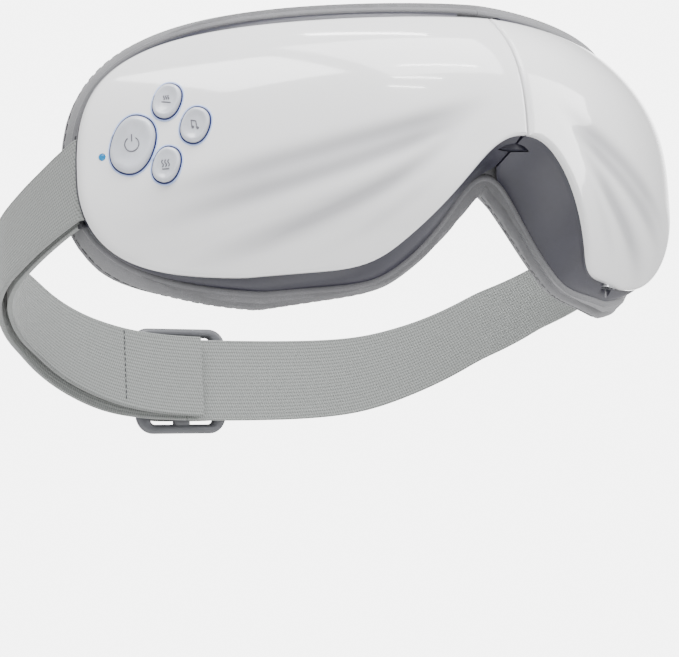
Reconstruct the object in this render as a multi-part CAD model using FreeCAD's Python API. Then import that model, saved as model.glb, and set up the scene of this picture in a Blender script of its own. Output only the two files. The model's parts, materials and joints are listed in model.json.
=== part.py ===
"""Folding eye massager mask with an elastic head strap, in millimetres.

X runs across the face (the control half lies at -X), -Y is the front, +Y is the face side, +Z is up.
The origin is the centre of the face opening, on the plane of symmetry.
Everything but the controls is drawn for the +X half and mirrored for the -X half.
"""
import FreeCAD, Part
import math
import os
from FreeCAD import Placement, Rotation, Vector

# Front shell: a height field, swept back towards the temples and crowned towards its top and bottom.
HALF_WIDTH = 103.0
SWEEP_BACK = 65.9
SWEEP_POWER = 1.61
FRONT_Y = -45.0
TOP_Z = 41.7
BOTTOM_Z = 30.2
TOP_CROWN = 15.5
TOP_CROWN_POWER = 3.4
BOTTOM_CROWN = 13.5
BOTTOM_CROWN_POWER = 2.06
NOSE_ARCH = [(0, 5.8), (5.7, 5.2), (9.5, 3.4), (12.5, 0.5), (15.3, -3.6), (18.8, -8.6), (23.6, -14.5), (30, -21.3)]
CORNER_X = 37.2
# The cheek corner is tighter on the shell than on the soft parts behind it.
SHELL_CHEEK_POWER = 6.7
SOFT_CHEEK_POWER = 4.5

# Depths behind the crowned outer surface, measured along Y.
SHELL_DEPTH = 2.4
TRAY_FRONT = 2.8

# Depths from the joint between tray and cushion, which follows the sweep but has no crown.
JOINT_DEPTH = 21.8
JOINT_TAPER = 4.4
FLANGE_FRONT = -6.0
FRAME_FRONT = -6.4
FRAME_BACK = -5.0
TRAY_FLOOR = -2.8
TRAY_BACK = -0.4
HEATER_FRONT = -0.2
HEATER_BACK = 0.3
BLADDER_FRONT = 1.0
BLADDER_BACK = 6.5
PAD_FRONT = 7.4
PAD_BACK = 10.4

# Fold: each half turns about one upright pin on the plane of symmetry.
HINGE_Y = -28.0
FOLD_LIMIT = 35.0
FOLD_GAP = 0.4
SEAM_GAP = 0.3
PIN_RADIUS = 1.5
PIN_BORE = 1.55
KNUCKLE_RADIUS = 4.0
COVER_RADIUS = 8.0
COVER_BORE = 6.6
CAP_RADIUS = 10.0
STACK_BOTTOM = 6.5
KNUCKLE_SPANS = {"right": [(7.2, 14.8), (23.2, 30.2)], "left": [(15.5, 22.5)]}
WASHER_BOTTOMS = [6.6, 14.9, 22.6, 30.3]
WASHER_THICKNESS = 0.5
STACK_TOP = 31.0

# Cushion ring: the face side is a gentle curve from brow to temple.
REAR_CENTRE_Y = 5.0
REAR_SWEEP = 45.0
REAR_POWER = 1.7
REAR_HALF_WIDTH = 98.0
LOWER_SIDE = [(-1, 14), (14, 10), (24, -6), (36, -15), (70, -18), (80, -26), (84, -60), (-1, -60)]

# Head strap: straight behind the head, where the buckle slides, and round to a bar at each temple.
STRAP_WIDTH = 27.0
STRAP_THICKNESS = 1.6
STRAP_HALF_WIDTH = 105.5
STRAP_BACK_Y = 129.6
STRAP_WIDEST_Y = 62.0
STRAP_POWER = 2.25
STRAP_STRAIGHT = 20.0
STRAP_BAR_X = 101.9
STRAP_BAR_Y = 26.5
# Side view of the strap: y, middle z, half height. It is gathered at the temples and droops to the back.
STRAP_SIDE = [(16.5, 2.5, 11.3), (26.5, 0.3, 11.2), (43, -5.0, 10.7), (67, -11.9, 10.5), (89, -18.7, 10.9),
              (106, -27.2, 11.7), (117.4, -36.7, 12.2), (125, -42.9, 13.0), (129.6, -44.3, 13.5), (137.6, -44.3, 13.5)]
LAYER_PITCH = 3.2
STRAP_BAR_RADIUS = 0.75
END_BACK_Y = 46.0
SPAN_BACK_X = 62.0
SECOND_LAYER_X = 13.0
SEWN_LOOP = 12.0

# Buckle, a little to the control side.
BUCKLE_X = -18.0
BUCKLE_LENGTH = 34.0
BUCKLE_HEIGHT = 35.0
BUCKLE_THICKNESS = 3.0
BUCKLE_BAR = 6.0
BUCKLE_RAIL = 5.5
SLIDE_GAP = 0.3

# Controls: name, x, z, width and height; each oval leans towards the nose at its top.
BUTTONS = [
    ("power_button", 92.2, 7.9, 11.8, 16.0),
    ("pressure_button", 84.5, 19.1, 7.3, 9.8),
    ("music_button", 79.2, 11.8, 7.5, 9.8),
    ("heat_button", 85.5, 1.6, 7.2, 9.8),
]
BUTTON_POWER = 2.25
BUTTON_LEAN = 22.0
BUTTON_PROUD = 1.1
BUTTON_GAP = 0.35
FLANGE_TOP = 2.4
FLANGE_BOTTOM = 3.1
FLANGE_MARGIN = 0.5
STEM_BOTTOM = 3.9
SWITCH_TOP = 4.8
BOARD_DEPTH = 6.6
LIGHT_PLACE = (98.6, 5.3)
LIGHT_RADIUS = 0.9

SCREW_PLACES = [(26, 28), (66, 28), (87, 24), (86, -14), (46, -22)]
BOSS_RADIUS = 2.6
SCREW_RADIUS = 1.0
SCREW_HEAD = 2.0
SCREW_TIP = -9.0
FAR = 400.0


def sweep(x):
    return SWEEP_BACK * (abs(x) / HALF_WIDTH) ** SWEEP_POWER


def crown(z):
    if z > 0:
        return TOP_CROWN * (z / TOP_Z) ** TOP_CROWN_POWER
    return BOTTOM_CROWN * (-z / BOTTOM_Z) ** BOTTOM_CROWN_POWER


def surface_y(x, z):
    return FRONT_Y + sweep(x) + crown(z)


def joint_y(x):
    return FRONT_Y + sweep(x) + JOINT_DEPTH - JOINT_TAPER * (x / HALF_WIDTH) ** 2


def inward_normal(x, z):
    step = 0.01
    slope_x = (surface_y(x + step, z) - surface_y(x - step, z)) / (2 * step)
    slope_z = (surface_y(x, z + step) - surface_y(x, z - step)) / (2 * step)
    normal = Vector(-slope_x, 1, -slope_z)
    return normal.normalize()


def crowned_layer(front, back):
    """The solid between two depths behind the outer surface, on the +X side."""
    columns = [x * 7.0 for x in range(17)]
    rows = [z * 6.0 for z in range(-8, 10)]
    grid = [[Vector(x, surface_y(x, z) + front, z) for z in rows] for x in columns]
    surface = Part.BSplineSurface()
    surface.interpolate(grid)
    return surface.toShape().extrude(Vector(0, back - front, 0))


def joint_layer(front, back):
    """The solid between two depths from the joint of tray and cushion, on the +X side."""
    points = [Vector(x * 7.0, joint_y(x * 7.0) + front, -60) for x in range(17)]
    line = spline(points, Vector(1, 0, 0), points[-1] - points[-2]).toShape()
    return line.extrude(Vector(0, back - front, 0)).extrude(Vector(0, 0, 120))


def spline(points, start=None, end=None):
    curve = Part.BSplineCurve()
    if start is None:
        curve.interpolate(Points=points)
    else:
        curve.interpolate(Points=points, InitialTangent=start, FinalTangent=end)
    return curve


def oval_run(half_width, height, width_power, height_power, angles):
    """Points of a superellipse quadrant in the XZ plane; negative height gives the lower quadrant."""
    run = []
    for angle in angles:
        across = math.cos(math.radians(angle)) ** (2 / width_power) if angle < 90 else 0.0
        up = math.sin(math.radians(angle)) ** (2 / height_power)
        run.append(Vector(half_width * across, 0, height * up))
    return run


def outline_wire(half_width, top, bottom, grow, cheek_power):
    """Half outline of the mask in the XZ plane; grow moves the nose arch out by that much."""
    arch = []
    for index, (x, z) in enumerate(NOSE_ARCH):
        before = NOSE_ARCH[max(index - 1, 0)]
        after = NOSE_ARCH[min(index + 1, len(NOSE_ARCH) - 1)]
        run = Vector(after[0] - before[0], 0, after[1] - before[1]).normalize() if index else Vector(1, 0, 0)
        arch.append(Vector(x + grow * run.z, 0, z - grow * run.x))
    kept = []
    for point in arch:
        if not kept or point.x > kept[-1].x + 3:
            kept.append(point)
    arch = kept
    corner = Vector(CORNER_X - 0.55 * grow, 0, -0.934 * bottom + 0.17 * grow)
    arch.append(corner)
    lower = oval_run(half_width, -bottom, cheek_power, 2.1, [78, 66, 54, 42, 30, 18, 8, 0])
    upper = oval_run(half_width, top, 5.1, 2.9, [0, 12, 24, 36, 48, 60, 72, 82, 90])
    nose = spline(arch, Vector(1, 0, 0), Vector(0.8, 0, -0.6)).toShape()
    floor = Part.makeLine(corner, lower[0])
    under = spline(lower, lower[0] - corner, Vector(0, 0, 1)).toShape()
    over = spline(upper, Vector(0, 0, 1), Vector(-1, 0, 0)).toShape()
    middle = Part.makeLine(upper[-1], arch[0])
    return Part.Wire([nose, floor, under, over, middle])


def outline_prism(half_width, top, bottom, grow, cheek_power=SHELL_CHEEK_POWER):
    wire = outline_wire(half_width, top, bottom, grow, cheek_power)
    wire.translate(Vector(0, -FAR / 2, 0))
    return Part.Face(wire).extrude(Vector(0, FAR, 0))


def box(low, high):
    size = [high[i] - low[i] for i in range(3)]
    return Part.makeBox(size[0], size[1], size[2], Vector(*low))


def cylinder(radius, start, end):
    axis = end - start
    return Part.makeCylinder(radius, axis.Length, start, axis)


def prism_z(points, low, high):
    """A polygon in the XY plane, extruded from one height to another."""
    corners = [Vector(x, y, low) for x, y in points]
    wire = Part.makePolygon(corners + corners[:1])
    return Part.Face(wire).extrude(Vector(0, 0, high - low))


def fold_wedge(gap):
    """The space behind the pin, at +X, that the folding half has to leave free."""
    reach = FAR * math.tan(math.radians(FOLD_LIMIT))
    corners = [(-FAR, HINGE_Y), (gap, HINGE_Y), (gap + reach, HINGE_Y + FAR), (-FAR, HINGE_Y + FAR)]
    return prism_z(corners, -FAR / 2, FAR / 2)


def hinge_column(radius, low, high):
    return cylinder(radius, Vector(0, HINGE_Y, low), Vector(0, HINGE_Y, high))


def clear_of_fold(shape):
    """Cut one +X half back from the seam, from the hinge cover and from the space its fold needs."""
    shape = shape.cut(box((-FAR, -FAR, -FAR), (SEAM_GAP, FAR, FAR)))
    shape = shape.cut(fold_wedge(FOLD_GAP))
    shape = shape.cut(hinge_column(COVER_RADIUS + FOLD_GAP, STACK_BOTTOM - 1.0, STACK_TOP + 3.0))
    return shape.cut(hinge_column(CAP_RADIUS + FOLD_GAP, -FAR / 2, STACK_BOTTOM + FOLD_GAP))


def mirrored(shape):
    return shape.mirror(Vector(0, 0, 0), Vector(1, 0, 0))


def surface_frame(x, z, depth):
    """Placement with local +Y inward along the normal, at a depth below the outer surface."""
    inward = inward_normal(x, z)
    across = Vector(inward.y, -inward.x, 0).normalize()
    rotation = Rotation(across, inward, across.cross(inward), "XYZ")
    return Placement(Vector(x, surface_y(x, z), z) + inward * depth, rotation)


def set_at(shape, x, z, depth):
    """Move a shape from its own frame to a depth below the surface, level with the section at z = 0."""
    place = surface_frame(x, 0, depth)
    place.Base.z = z
    shape.Placement = place.multiply(shape.Placement)
    return shape


def block(middle, size):
    return box([middle[i] - size[i] / 2 for i in range(3)], [middle[i] + size[i] / 2 for i in range(3)])


def rod_x(radius, start, end, y=0.0, z=0.0):
    return cylinder(radius, Vector(start, y, z), Vector(end, y, z))


def rod_z(radius, start, end, x=0.0, y=0.0):
    return cylinder(radius, Vector(x, y, start), Vector(x, y, end))


# ---- Front shells and controls ----

def button_outline(width, height, margin, low, high):
    """A leaning oval prism in the button's own frame, between two depths along +Y."""
    lean = math.radians(BUTTON_LEAN)
    points = []
    for angle in range(0, 360, 30):
        turn = math.radians(angle)
        across = abs(math.cos(turn)) ** (2 / BUTTON_POWER) * math.copysign(width / 2 + margin, math.cos(turn))
        up = abs(math.sin(turn)) ** (2 / BUTTON_POWER) * math.copysign(height / 2 + margin, math.sin(turn))
        x = across * math.cos(lean) - up * math.sin(lean)
        z = across * math.sin(lean) + up * math.cos(lean)
        points.append(Vector(x, low, z))
    curve = Part.BSplineCurve()
    curve.interpolate(Points=points, PeriodicFlag=True)
    return Part.Face(Part.Wire([curve.toShape()])).extrude(Vector(0, high - low, 0))


def button_cap(x, z, width, height):
    cap = button_outline(width, height, 0, -BUTTON_PROUD, FLANGE_BOTTOM)
    flange = button_outline(width, height, FLANGE_MARGIN, FLANGE_TOP, FLANGE_BOTTOM)
    stem = cylinder(1.5, Vector(0, FLANGE_BOTTOM - 0.2, 0), Vector(0, STEM_BOTTOM, 0))
    button = cap.fuse(flange).fuse(stem).removeSplitter()
    button.Placement = surface_frame(x, z, 0)
    return button


def button_hole(x, z, width, height):
    hole = button_outline(width, height, BUTTON_GAP, -5, FLANGE_TOP + 2)
    hole.Placement = surface_frame(x, z, 0)
    return hole


def button_pocket(x, z, width, height):
    """Room below the shell for a button's flange and its travel."""
    pocket = button_outline(width, height, FLANGE_MARGIN + 0.3, 0, STEM_BOTTOM + 1)
    pocket.Placement = surface_frame(x, z, 0)
    return pocket


def light_hole(margin):
    x, z = LIGHT_PLACE
    hole = cylinder(LIGHT_RADIUS + margin, Vector(0, -3, 0), Vector(0, 5, 0))
    hole.Placement = surface_frame(x, z, 0)
    return hole


def along_y(radius, x, z, front, back):
    """A cylinder along Y that ends at two depths from the joint of tray and cushion."""
    y = joint_y(x)
    return cylinder(radius, Vector(x, y + front, z), Vector(x, y + back, z))


def screw_boss(x, z):
    column = along_y(BOSS_RADIUS, x, z, -JOINT_DEPTH, TRAY_FLOOR - 0.2)
    column = column.common(crowned_layer(SHELL_DEPTH * 0.7, FAR))
    return column.cut(along_y(SCREW_RADIUS + 0.05, x, z, SCREW_TIP - 0.5, 0))


def front_shell():
    shell = crowned_layer(0, SHELL_DEPTH).common(outline_prism(HALF_WIDTH, TOP_Z, BOTTOM_Z, 0))
    shell = clear_of_fold(shell)
    for place in SCREW_PLACES:
        shell = shell.fuse(screw_boss(*place))
    return shell.removeSplitter()


def control_shell(shell):
    for _, x, z, width, height in BUTTONS:
        shell = shell.cut(button_hole(x, z, width, height))
    return shell.cut(light_hole(0.15))


def status_light():
    pipe = cylinder(LIGHT_RADIUS, Vector(0, -0.2, 0), Vector(0, 4.2, 0))
    pipe.Placement = surface_frame(*LIGHT_PLACE, 0)
    return pipe


def button_board():
    """Board with one tact switch under each button."""
    board = set_at(block((0, 0.6, 0), (27, 1.2, 25)), 84.4, 8.8, BOARD_DEPTH)
    for _, x, z, _, _ in BUTTONS:
        switch = box((-1.8, SWITCH_TOP, -1.8), (1.8, BOARD_DEPTH + 0.8, 1.8))
        switch.Placement = surface_frame(x, z, 0)
        board = board.fuse(switch)
    return board


# ---- Housing trays and what they hold ----

def tray():
    rim = joint_layer(-FAR, FLANGE_FRONT + 1).common(outline_prism(101.4, 40.2, 28.8, -1.4))
    flange = joint_layer(FLANGE_FRONT, TRAY_BACK).common(outline_prism(97.5, 43.8, 33.6, 7, SOFT_CHEEK_POWER))
    body = rim.fuse(flange).common(crowned_layer(TRAY_FRONT, FAR))
    inside = joint_layer(-FAR, TRAY_FLOOR).common(outline_prism(95.6, 38.0, 26.4, -4))
    inside = inside.cut(box((-FAR, -FAR, -FAR), (12, FAR, FAR)))
    body = clear_of_fold(body).cut(inside)
    for x, z in SCREW_PLACES:
        body = body.cut(along_y(BOSS_RADIUS + 0.2, x, z, -FAR, TRAY_FLOOR))
        body = body.cut(along_y(SCREW_RADIUS + 0.15, x, z, -FAR, FAR))
        body = body.cut(along_y(SCREW_HEAD + 0.2, x, z, TRAY_BACK - 1.6, FAR))
    return body


def screws():
    bodies = []
    for x, z in SCREW_PLACES:
        shank = along_y(SCREW_RADIUS, x, z, SCREW_TIP, TRAY_BACK - 1.5)
        head = along_y(SCREW_HEAD, x, z, TRAY_BACK - 1.6, TRAY_BACK - 0.2)
        bodies.append(shank.fuse(head).removeSplitter())
    return Part.makeCompound(bodies)


def inner_frame():
    """Mounting plate behind the boards, with two windows."""
    plate = joint_layer(FRAME_FRONT, FRAME_BACK).common(box((26, -FAR, -3), (84, FAR, 25)))
    for x in (42, 66):
        plate = plate.cut(box((x - 8, -FAR, 4), (x + 8, FAR, 20)))
    return plate


def hinge_leaf(side):
    """Knuckles on the pin, with the plate that is screwed into the tray."""
    leaf = None
    for low, high in KNUCKLE_SPANS[side]:
        knuckle = hinge_column(KNUCKLE_RADIUS, low, high)
        arm = box((0, HINGE_Y - 1, low), (16, HINGE_Y + 1, high))
        piece = knuckle.fuse(arm)
        leaf = piece if leaf is None else leaf.fuse(piece)
    low = min(span[0] for span in KNUCKLE_SPANS[side])
    high = max(span[1] for span in KNUCKLE_SPANS[side])
    leaf = leaf.fuse(box((12.6, HINGE_Y - 1, low), (19.6, HINGE_Y + 1, high)))
    return leaf.cut(hinge_column(PIN_BORE, 0, 60)).removeSplitter()


def leaf_slots(side):
    """Openings in the tray's inner wall for the hinge arms."""
    slots = [box((0, HINGE_Y - 1.2, low - 0.2), (13, HINGE_Y + 1.2, high + 0.2))
             for low, high in KNUCKLE_SPANS[side]]
    return Part.makeCompound(slots)


def hinge_pin():
    return hinge_column(PIN_RADIUS, STACK_BOTTOM - 2.5, STACK_TOP + 1.6)


def hinge_cover():
    """Front half of a tube that hides the knuckles, closed by a cap at each end of the pin."""
    tube = hinge_column(COVER_RADIUS, STACK_BOTTOM, STACK_TOP)
    tube = tube.cut(hinge_column(COVER_BORE, STACK_BOTTOM, STACK_TOP))
    tube = tube.cut(box((-20, HINGE_Y - 1.8, 0), (20, HINGE_Y + 20, 40)))
    top = hinge_column(COVER_RADIUS, STACK_TOP, STACK_TOP + 2)
    bottom = hinge_column(CAP_RADIUS, STACK_BOTTOM - 3.4, STACK_BOTTOM)
    cover = tube.fuse(top).fuse(bottom).removeSplitter()
    return cover.cut(hinge_pin())


def hinge_washers():
    washers = []
    for low in WASHER_BOTTOMS:
        disc = hinge_column(KNUCKLE_RADIUS - 0.3, low, low + WASHER_THICKNESS)
        washers.append(disc.cut(hinge_column(PIN_BORE, low - 1, low + 2)))
    return Part.makeCompound(washers)


def main_board():
    """Controller board with its radio, charger and driver chips."""
    board = block((0, 0, 0), (38, 1.4, 20))
    for x, z, width, height in [(-9, 3, 9, 9), (4, -5, 7, 5), (11, 4, 5, 5)]:
        board = board.fuse(block((x, -1.4, z), (width, 1.6, height)))
    return set_at(board, 56.5, 13.6, 9.6)


def battery():
    cell = block((0, 0, 0), (46, 6.2, 20))
    cell = cell.makeFillet(1.4, [edge for edge in cell.Edges if edge.Length < 7])
    return set_at(cell, 54, 13.8, 8.4)


PUMP_PLACE = (55, -11, 9.8)


def air_pump():
    """Small diaphragm pump: motor can, open crank yoke and pump head with its outlet."""
    motor = rod_x(4.6, -16, -4)
    yoke = block((1, 4.0, 0), (12, 1.2, 9))
    head = block((10, 0, 0), (8, 9, 9.6))
    outlet = rod_x(1.4, 13.5, 15.5)
    return set_at(motor.fuse(yoke).fuse(head).fuse(outlet).removeSplitter(), *PUMP_PLACE)


def pump_crank():
    """Disc on the motor's shaft, with the eccentric pin that works the diaphragm."""
    disc = rod_x(3.1, -3.6, -1.6)
    pin = rod_x(0.7, -1.7, 0.2, z=1.8)
    return set_at(disc.fuse(pin).removeSplitter(), *PUMP_PLACE)


VALVE_PLACE = (30.4, 13, 8.6)


def valve_body():
    """Solenoid valve that lets the air out of the bladders, open at its plunger's end."""
    body = block((0, 0, 0), (9, 8, 11))
    return set_at(body.cut(rod_z(1.6, -3.5, 8)), *VALVE_PLACE)


def valve_plunger():
    stem = rod_z(1.52, -1.5, 8.0)
    knob = rod_z(2.2, 7.2, 8.8)
    return set_at(stem.fuse(knob).removeSplitter(), *VALVE_PLACE)


def valve_spring():
    """Return spring round the plunger, between the valve's face and the plunger's knob."""
    sleeve = rod_z(2.2, 5.6, 7.1).cut(rod_z(1.75, 5, 8))
    return set_at(sleeve, *VALVE_PLACE)


MOTOR_PLACE = (36, -3, 8.4)


def vibration_motor():
    """Motor can standing on its shaft's end."""
    return set_at(rod_z(3.4, -6, 6).fuse(rod_z(0.5, -10.2, -5.5)).removeSplitter(), *MOTOR_PLACE)


def motor_weight():
    """Half-round eccentric weight with a hub that runs on the motor's shaft."""
    half = rod_z(3.2, -9.8, -6.6).cut(block((0, -3.2, -8), (10, 6.4, 6)))
    hub = rod_z(1.2, -9.8, -6.6)
    return set_at(half.fuse(hub).cut(rod_z(0.54, -11, -5)).removeSplitter(), *MOTOR_PLACE)


def speaker():
    """Round speaker near the ear."""
    basket = cylinder(7.0, Vector(0, -1.7, 0), Vector(0, 1.7, 0))
    magnet = cylinder(4.2, Vector(0, -3.9, 0), Vector(0, -1.6, 0))
    return set_at(basket.fuse(magnet).removeSplitter(), 74, -10, 9.4)


SOCKET_PLACE = (64, -31, 13.4)
SOCKET_SIZE = (9.0, 3.2, 7.0)


def rounded_block(middle, size, radius):
    """A block whose upright edges are rounded."""
    body = block(middle, size)
    return body.makeFillet(radius, [edge for edge in body.Edges if abs(edge.Length - size[2]) < 0.01])


def charging_socket():
    """USB-C sized inlet in the underside of the battery half, flush with the tray's slope."""
    width, thickness, height = SOCKET_SIZE
    shell = rounded_block((0, 0, 0), SOCKET_SIZE, 1.5)
    mouth = rounded_block((0, 0, -1.2), (width - 0.7, thickness - 0.7, height), 1.2)
    tongue = block((0, 0, 0.9), (width - 3.4, 0.8, height - 2.0))
    socket = set_at(shell.cut(mouth).fuse(tongue), *SOCKET_PLACE)
    return socket.common(crowned_layer(TRAY_FRONT, FAR))


def socket_pocket():
    """Room for the charging socket in the tray's underside."""
    width, thickness, height = SOCKET_SIZE
    return set_at(rounded_block((0, 0, -3), (width + 0.3, thickness + 0.3, height + 6.4), 1.6), *SOCKET_PLACE)


# ---- Soft parts on the face side ----

def face_side_limit():
    """Everything in front of the curved plane that the face meets."""
    steps = [0, 14, 28, 42, 56, 70, 84, 98, 112]
    points = [Vector(x, REAR_CENTRE_Y + REAR_SWEEP * (x / REAR_HALF_WIDTH) ** REAR_POWER, -60) for x in steps]
    rear = spline(points, Vector(1, 0, 0), points[-1] - points[-2]).toShape()
    side = Part.makeLine(points[-1], Vector(112, -60, -60))
    front = Part.makeLine(Vector(112, -60, -60), Vector(0, -60, -60))
    middle = Part.makeLine(Vector(0, -60, -60), points[0])
    return Part.Face(Part.Wire([rear, side, front, middle])).extrude(Vector(0, 0, 120))


def lower_side():
    """The space behind the pad's lower edge and round the nose, where the cushion stays low."""
    corners = [Vector(x, -FAR / 2, z) for x, z in LOWER_SIDE]
    face = Part.Face(Part.makePolygon(corners + corners[:1]))
    return face.extrude(Vector(0, FAR, 0)).common(joint_layer(PAD_FRONT - 0.3, FAR))


def cushion_ring():
    ring = outline_prism(97.5, 48.0, 38.4, 12, SOFT_CHEEK_POWER).cut(outline_prism(82, 37.0, 26.0, 0))
    ring = joint_layer(0, FAR).common(ring).common(face_side_limit()).cut(lower_side())
    return ring.cut(hinge_column(CAP_RADIUS + FOLD_GAP, STACK_BOTTOM - 3.8, STACK_BOTTOM + FOLD_GAP))


def pad_sheet():
    return joint_layer(PAD_FRONT, PAD_BACK).common(outline_prism(76, 34.0, 34.0, 8.6))


def outside_wedge(shape):
    return shape.cut(fold_wedge(FOLD_GAP)).cut(box((-FAR, -FAR, -FAR), (SEAM_GAP, FAR, FAR)))


def inside_wedge(shape):
    """The middle piece across the fold, both sides of the plane of symmetry."""
    part = shape.common(fold_wedge(FOLD_GAP - 0.3))
    return part.fuse(mirrored(part)).removeSplitter()


def eye_oval(x, z, half_width, half_height, front, back):
    oval = Part.Ellipse(Vector(0, 0, 0), half_width, half_height).toShape()
    face = Part.Face(Part.Wire([oval]))
    face.rotate(Vector(0, 0, 0), Vector(1, 0, 0), 90)
    face.translate(Vector(x, -FAR / 2, z))
    return joint_layer(front, back).common(face.extrude(Vector(0, FAR, 0)))


def air_bladder():
    bladder = eye_oval(46, 8, 28, 22, BLADDER_FRONT, BLADDER_BACK)
    return bladder.cut(eye_oval(42, 7, 8, 7, BLADDER_FRONT - 5, BLADDER_BACK + 5))


def heater_film():
    return eye_oval(46, 8, 27, 21, HEATER_FRONT, HEATER_BACK)


# ---- Head strap ----

def strap_points():
    """Centre of the strap in plan, from the end of its straight stretch to the bar at the temple."""
    points = [Vector(STRAP_STRAIGHT, STRAP_BACK_Y, 0)]
    for angle in (20, 30, 42, 55, 70):
        turn = math.radians(angle)
        x = STRAP_HALF_WIDTH * math.sin(turn) ** (2 / STRAP_POWER)
        y = STRAP_WIDEST_Y + (STRAP_BACK_Y - STRAP_WIDEST_Y) * math.cos(turn) ** (2 / STRAP_POWER)
        points.append(Vector(x, y, 0))
    for y in (STRAP_WIDEST_Y, 50, 38, STRAP_BAR_Y):
        inset = (STRAP_HALF_WIDTH - STRAP_BAR_X) * (
            (STRAP_WIDEST_Y - y) / (STRAP_WIDEST_Y - STRAP_BAR_Y)) ** 2.3
        points.append(Vector(STRAP_HALF_WIDTH - inset, y, 0))
    return points


def strap_edge(distance):
    """The strap's plan curve moved inward by a distance, as a spline."""
    points = strap_points()
    leave = Vector(1, 0, 0)
    arrive = Vector(-0.25, -1, 0)
    middle = spline(points, leave, arrive)
    moved = []
    for point in points:
        along = middle.tangent(middle.parameter(point))[0]
        moved.append(point + Vector(along.y, -along.x, 0).normalize() * distance)
    return spline(moved, leave, arrive)


def strap_strip(shift):
    """Plan of one layer on the +X side, as a face; shift moves it in towards the head."""
    outer = strap_edge(shift - STRAP_THICKNESS / 2)
    inner = strap_edge(shift + STRAP_THICKNESS / 2)
    back_y = STRAP_BACK_Y - shift
    out_y = back_y + STRAP_THICKNESS / 2
    in_y = back_y - STRAP_THICKNESS / 2
    edges = [
        Part.makeLine(Vector(0, out_y, 0), outer.StartPoint),
        outer.toShape(),
        Part.makeLine(outer.EndPoint, inner.EndPoint),
        inner.toShape(),
        Part.makeLine(inner.StartPoint, Vector(0, in_y, 0)),
        Part.makeLine(Vector(0, in_y, 0), Vector(0, out_y, 0)),
    ]
    return Part.Face(Part.Wire(Part.__sortEdges__(edges)))


def strap_z(y):
    """Height of the strap's middle."""
    for (y_0, z_0, _), (y_1, z_1, _) in zip(STRAP_SIDE, STRAP_SIDE[1:]):
        if y <= y_1:
            return z_0 + (z_1 - z_0) * (y - y_0) / (y_1 - y_0)
    return STRAP_SIDE[-1][1]


def strap_band():
    """The drooping band between the strap's two edges, seen from the side."""
    upper = [Vector(-150, y, z + half) for y, z, half in STRAP_SIDE]
    lower = [Vector(-150, y, z - half) for y, z, half in STRAP_SIDE]
    edges = [
        spline(upper).toShape(),
        Part.makeLine(upper[-1], lower[-1]),
        spline(lower).toShape(),
        Part.makeLine(lower[0], upper[0]),
    ]
    return Part.Face(Part.Wire(Part.__sortEdges__(edges))).extrude(Vector(300, 0, 0))


def strap_layer(shift):
    strip = strap_strip(shift)
    strip.translate(Vector(0, 0, -90))
    return strip.extrude(Vector(0, 0, 150)).common(strap_band())


def strap_start():
    """Start of the strap at the temple: a point on its centre, its inward normal and its way out."""
    middle = strap_edge(0)
    along = middle.tangent(middle.LastParameter)[0].normalize()
    return middle.EndPoint, Vector(along.y, -along.x, 0), along


def bar_centre():
    """Centre of the temple bar, between the two layers."""
    point, inward, _ = strap_start()
    return point + inward * (LAYER_PITCH / 2)


def strap_turn():
    """The strap's turn round the temple bar."""
    _, inward, along = strap_start()
    centre = bar_centre()
    edges = []
    for radius in ((LAYER_PITCH + STRAP_THICKNESS) / 2, (LAYER_PITCH - STRAP_THICKNESS) / 2):
        ends = (centre - inward * radius, centre + along * radius, centre + inward * radius)
        edges.append(Part.Arc(*ends))
    first = Part.makeLine(edges[0].StartPoint, edges[1].StartPoint)
    last = Part.makeLine(edges[0].EndPoint, edges[1].EndPoint)
    face = Part.Face(Part.Wire(Part.__sortEdges__([edges[0].toShape(), edges[1].toShape(), first, last])))
    face.translate(Vector(0, 0, -90))
    return face.extrude(Vector(0, 0, 150)).common(strap_band())


def strap_end(inner_back_y):
    """The end at the temple: the outer layer, the turn round the bar, and the inner layer."""
    near = box((70, STRAP_BAR_Y - 10, -90), (120, END_BACK_Y - 0.1, 90))
    short = box((70, STRAP_BAR_Y - 10, -90), (120, inner_back_y - 0.1, 90))
    outer = strap_layer(0).common(near)
    inner = strap_layer(LAYER_PITCH).common(short)
    return outer.fuse(inner).fuse(strap_turn()).removeSplitter()


def strap_span(shifts):
    """The side of the strap, from the temple end to the stretch behind the head."""
    region = box((SPAN_BACK_X, END_BACK_Y, -90), (120, 200, 90))
    return Part.makeCompound([strap_layer(shift).common(region) for shift in shifts])


def strap_back():
    """The stretch behind the head, with the second layer on the control side."""
    region = box((0, 60, -90), (SPAN_BACK_X, 200, 90))
    half = strap_layer(0).common(region)
    whole = half.fuse(mirrored(half)).removeSplitter()
    second = strap_layer(LAYER_PITCH).common(box((SECOND_LAYER_X, 60, -90), (SPAN_BACK_X, 200, 90)))
    return Part.makeCompound([whole, mirrored(second)])


def strap_pocket():
    """Room at the temple for the strap's turn round its bar."""
    middle_z = strap_z(STRAP_BAR_Y)
    return box((96.6, STRAP_BAR_Y - 2.6, middle_z - 16.5), (120, 70, middle_z + 12.0))


def strap_anchor():
    """Steel bar in a moulded bracket at the temple."""
    centre = bar_centre()
    low_z = strap_z(STRAP_BAR_Y) - 14.4
    high_z = strap_z(STRAP_BAR_Y) + 14.4
    bar = cylinder(STRAP_BAR_RADIUS, centre + Vector(0, 0, low_z + 0.5), centre + Vector(0, 0, high_z - 0.5))
    bracket = box((90.5, 20.2, low_z), (94.5, 27.0, high_z))
    for z in (low_z, high_z - 2.4):
        bracket = bracket.fuse(box((92.0, 22.9, z), (101.4, 27.6, z + 2.4)))
    return bracket.fuse(bar).removeSplitter()


# ---- Buckle ----

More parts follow.
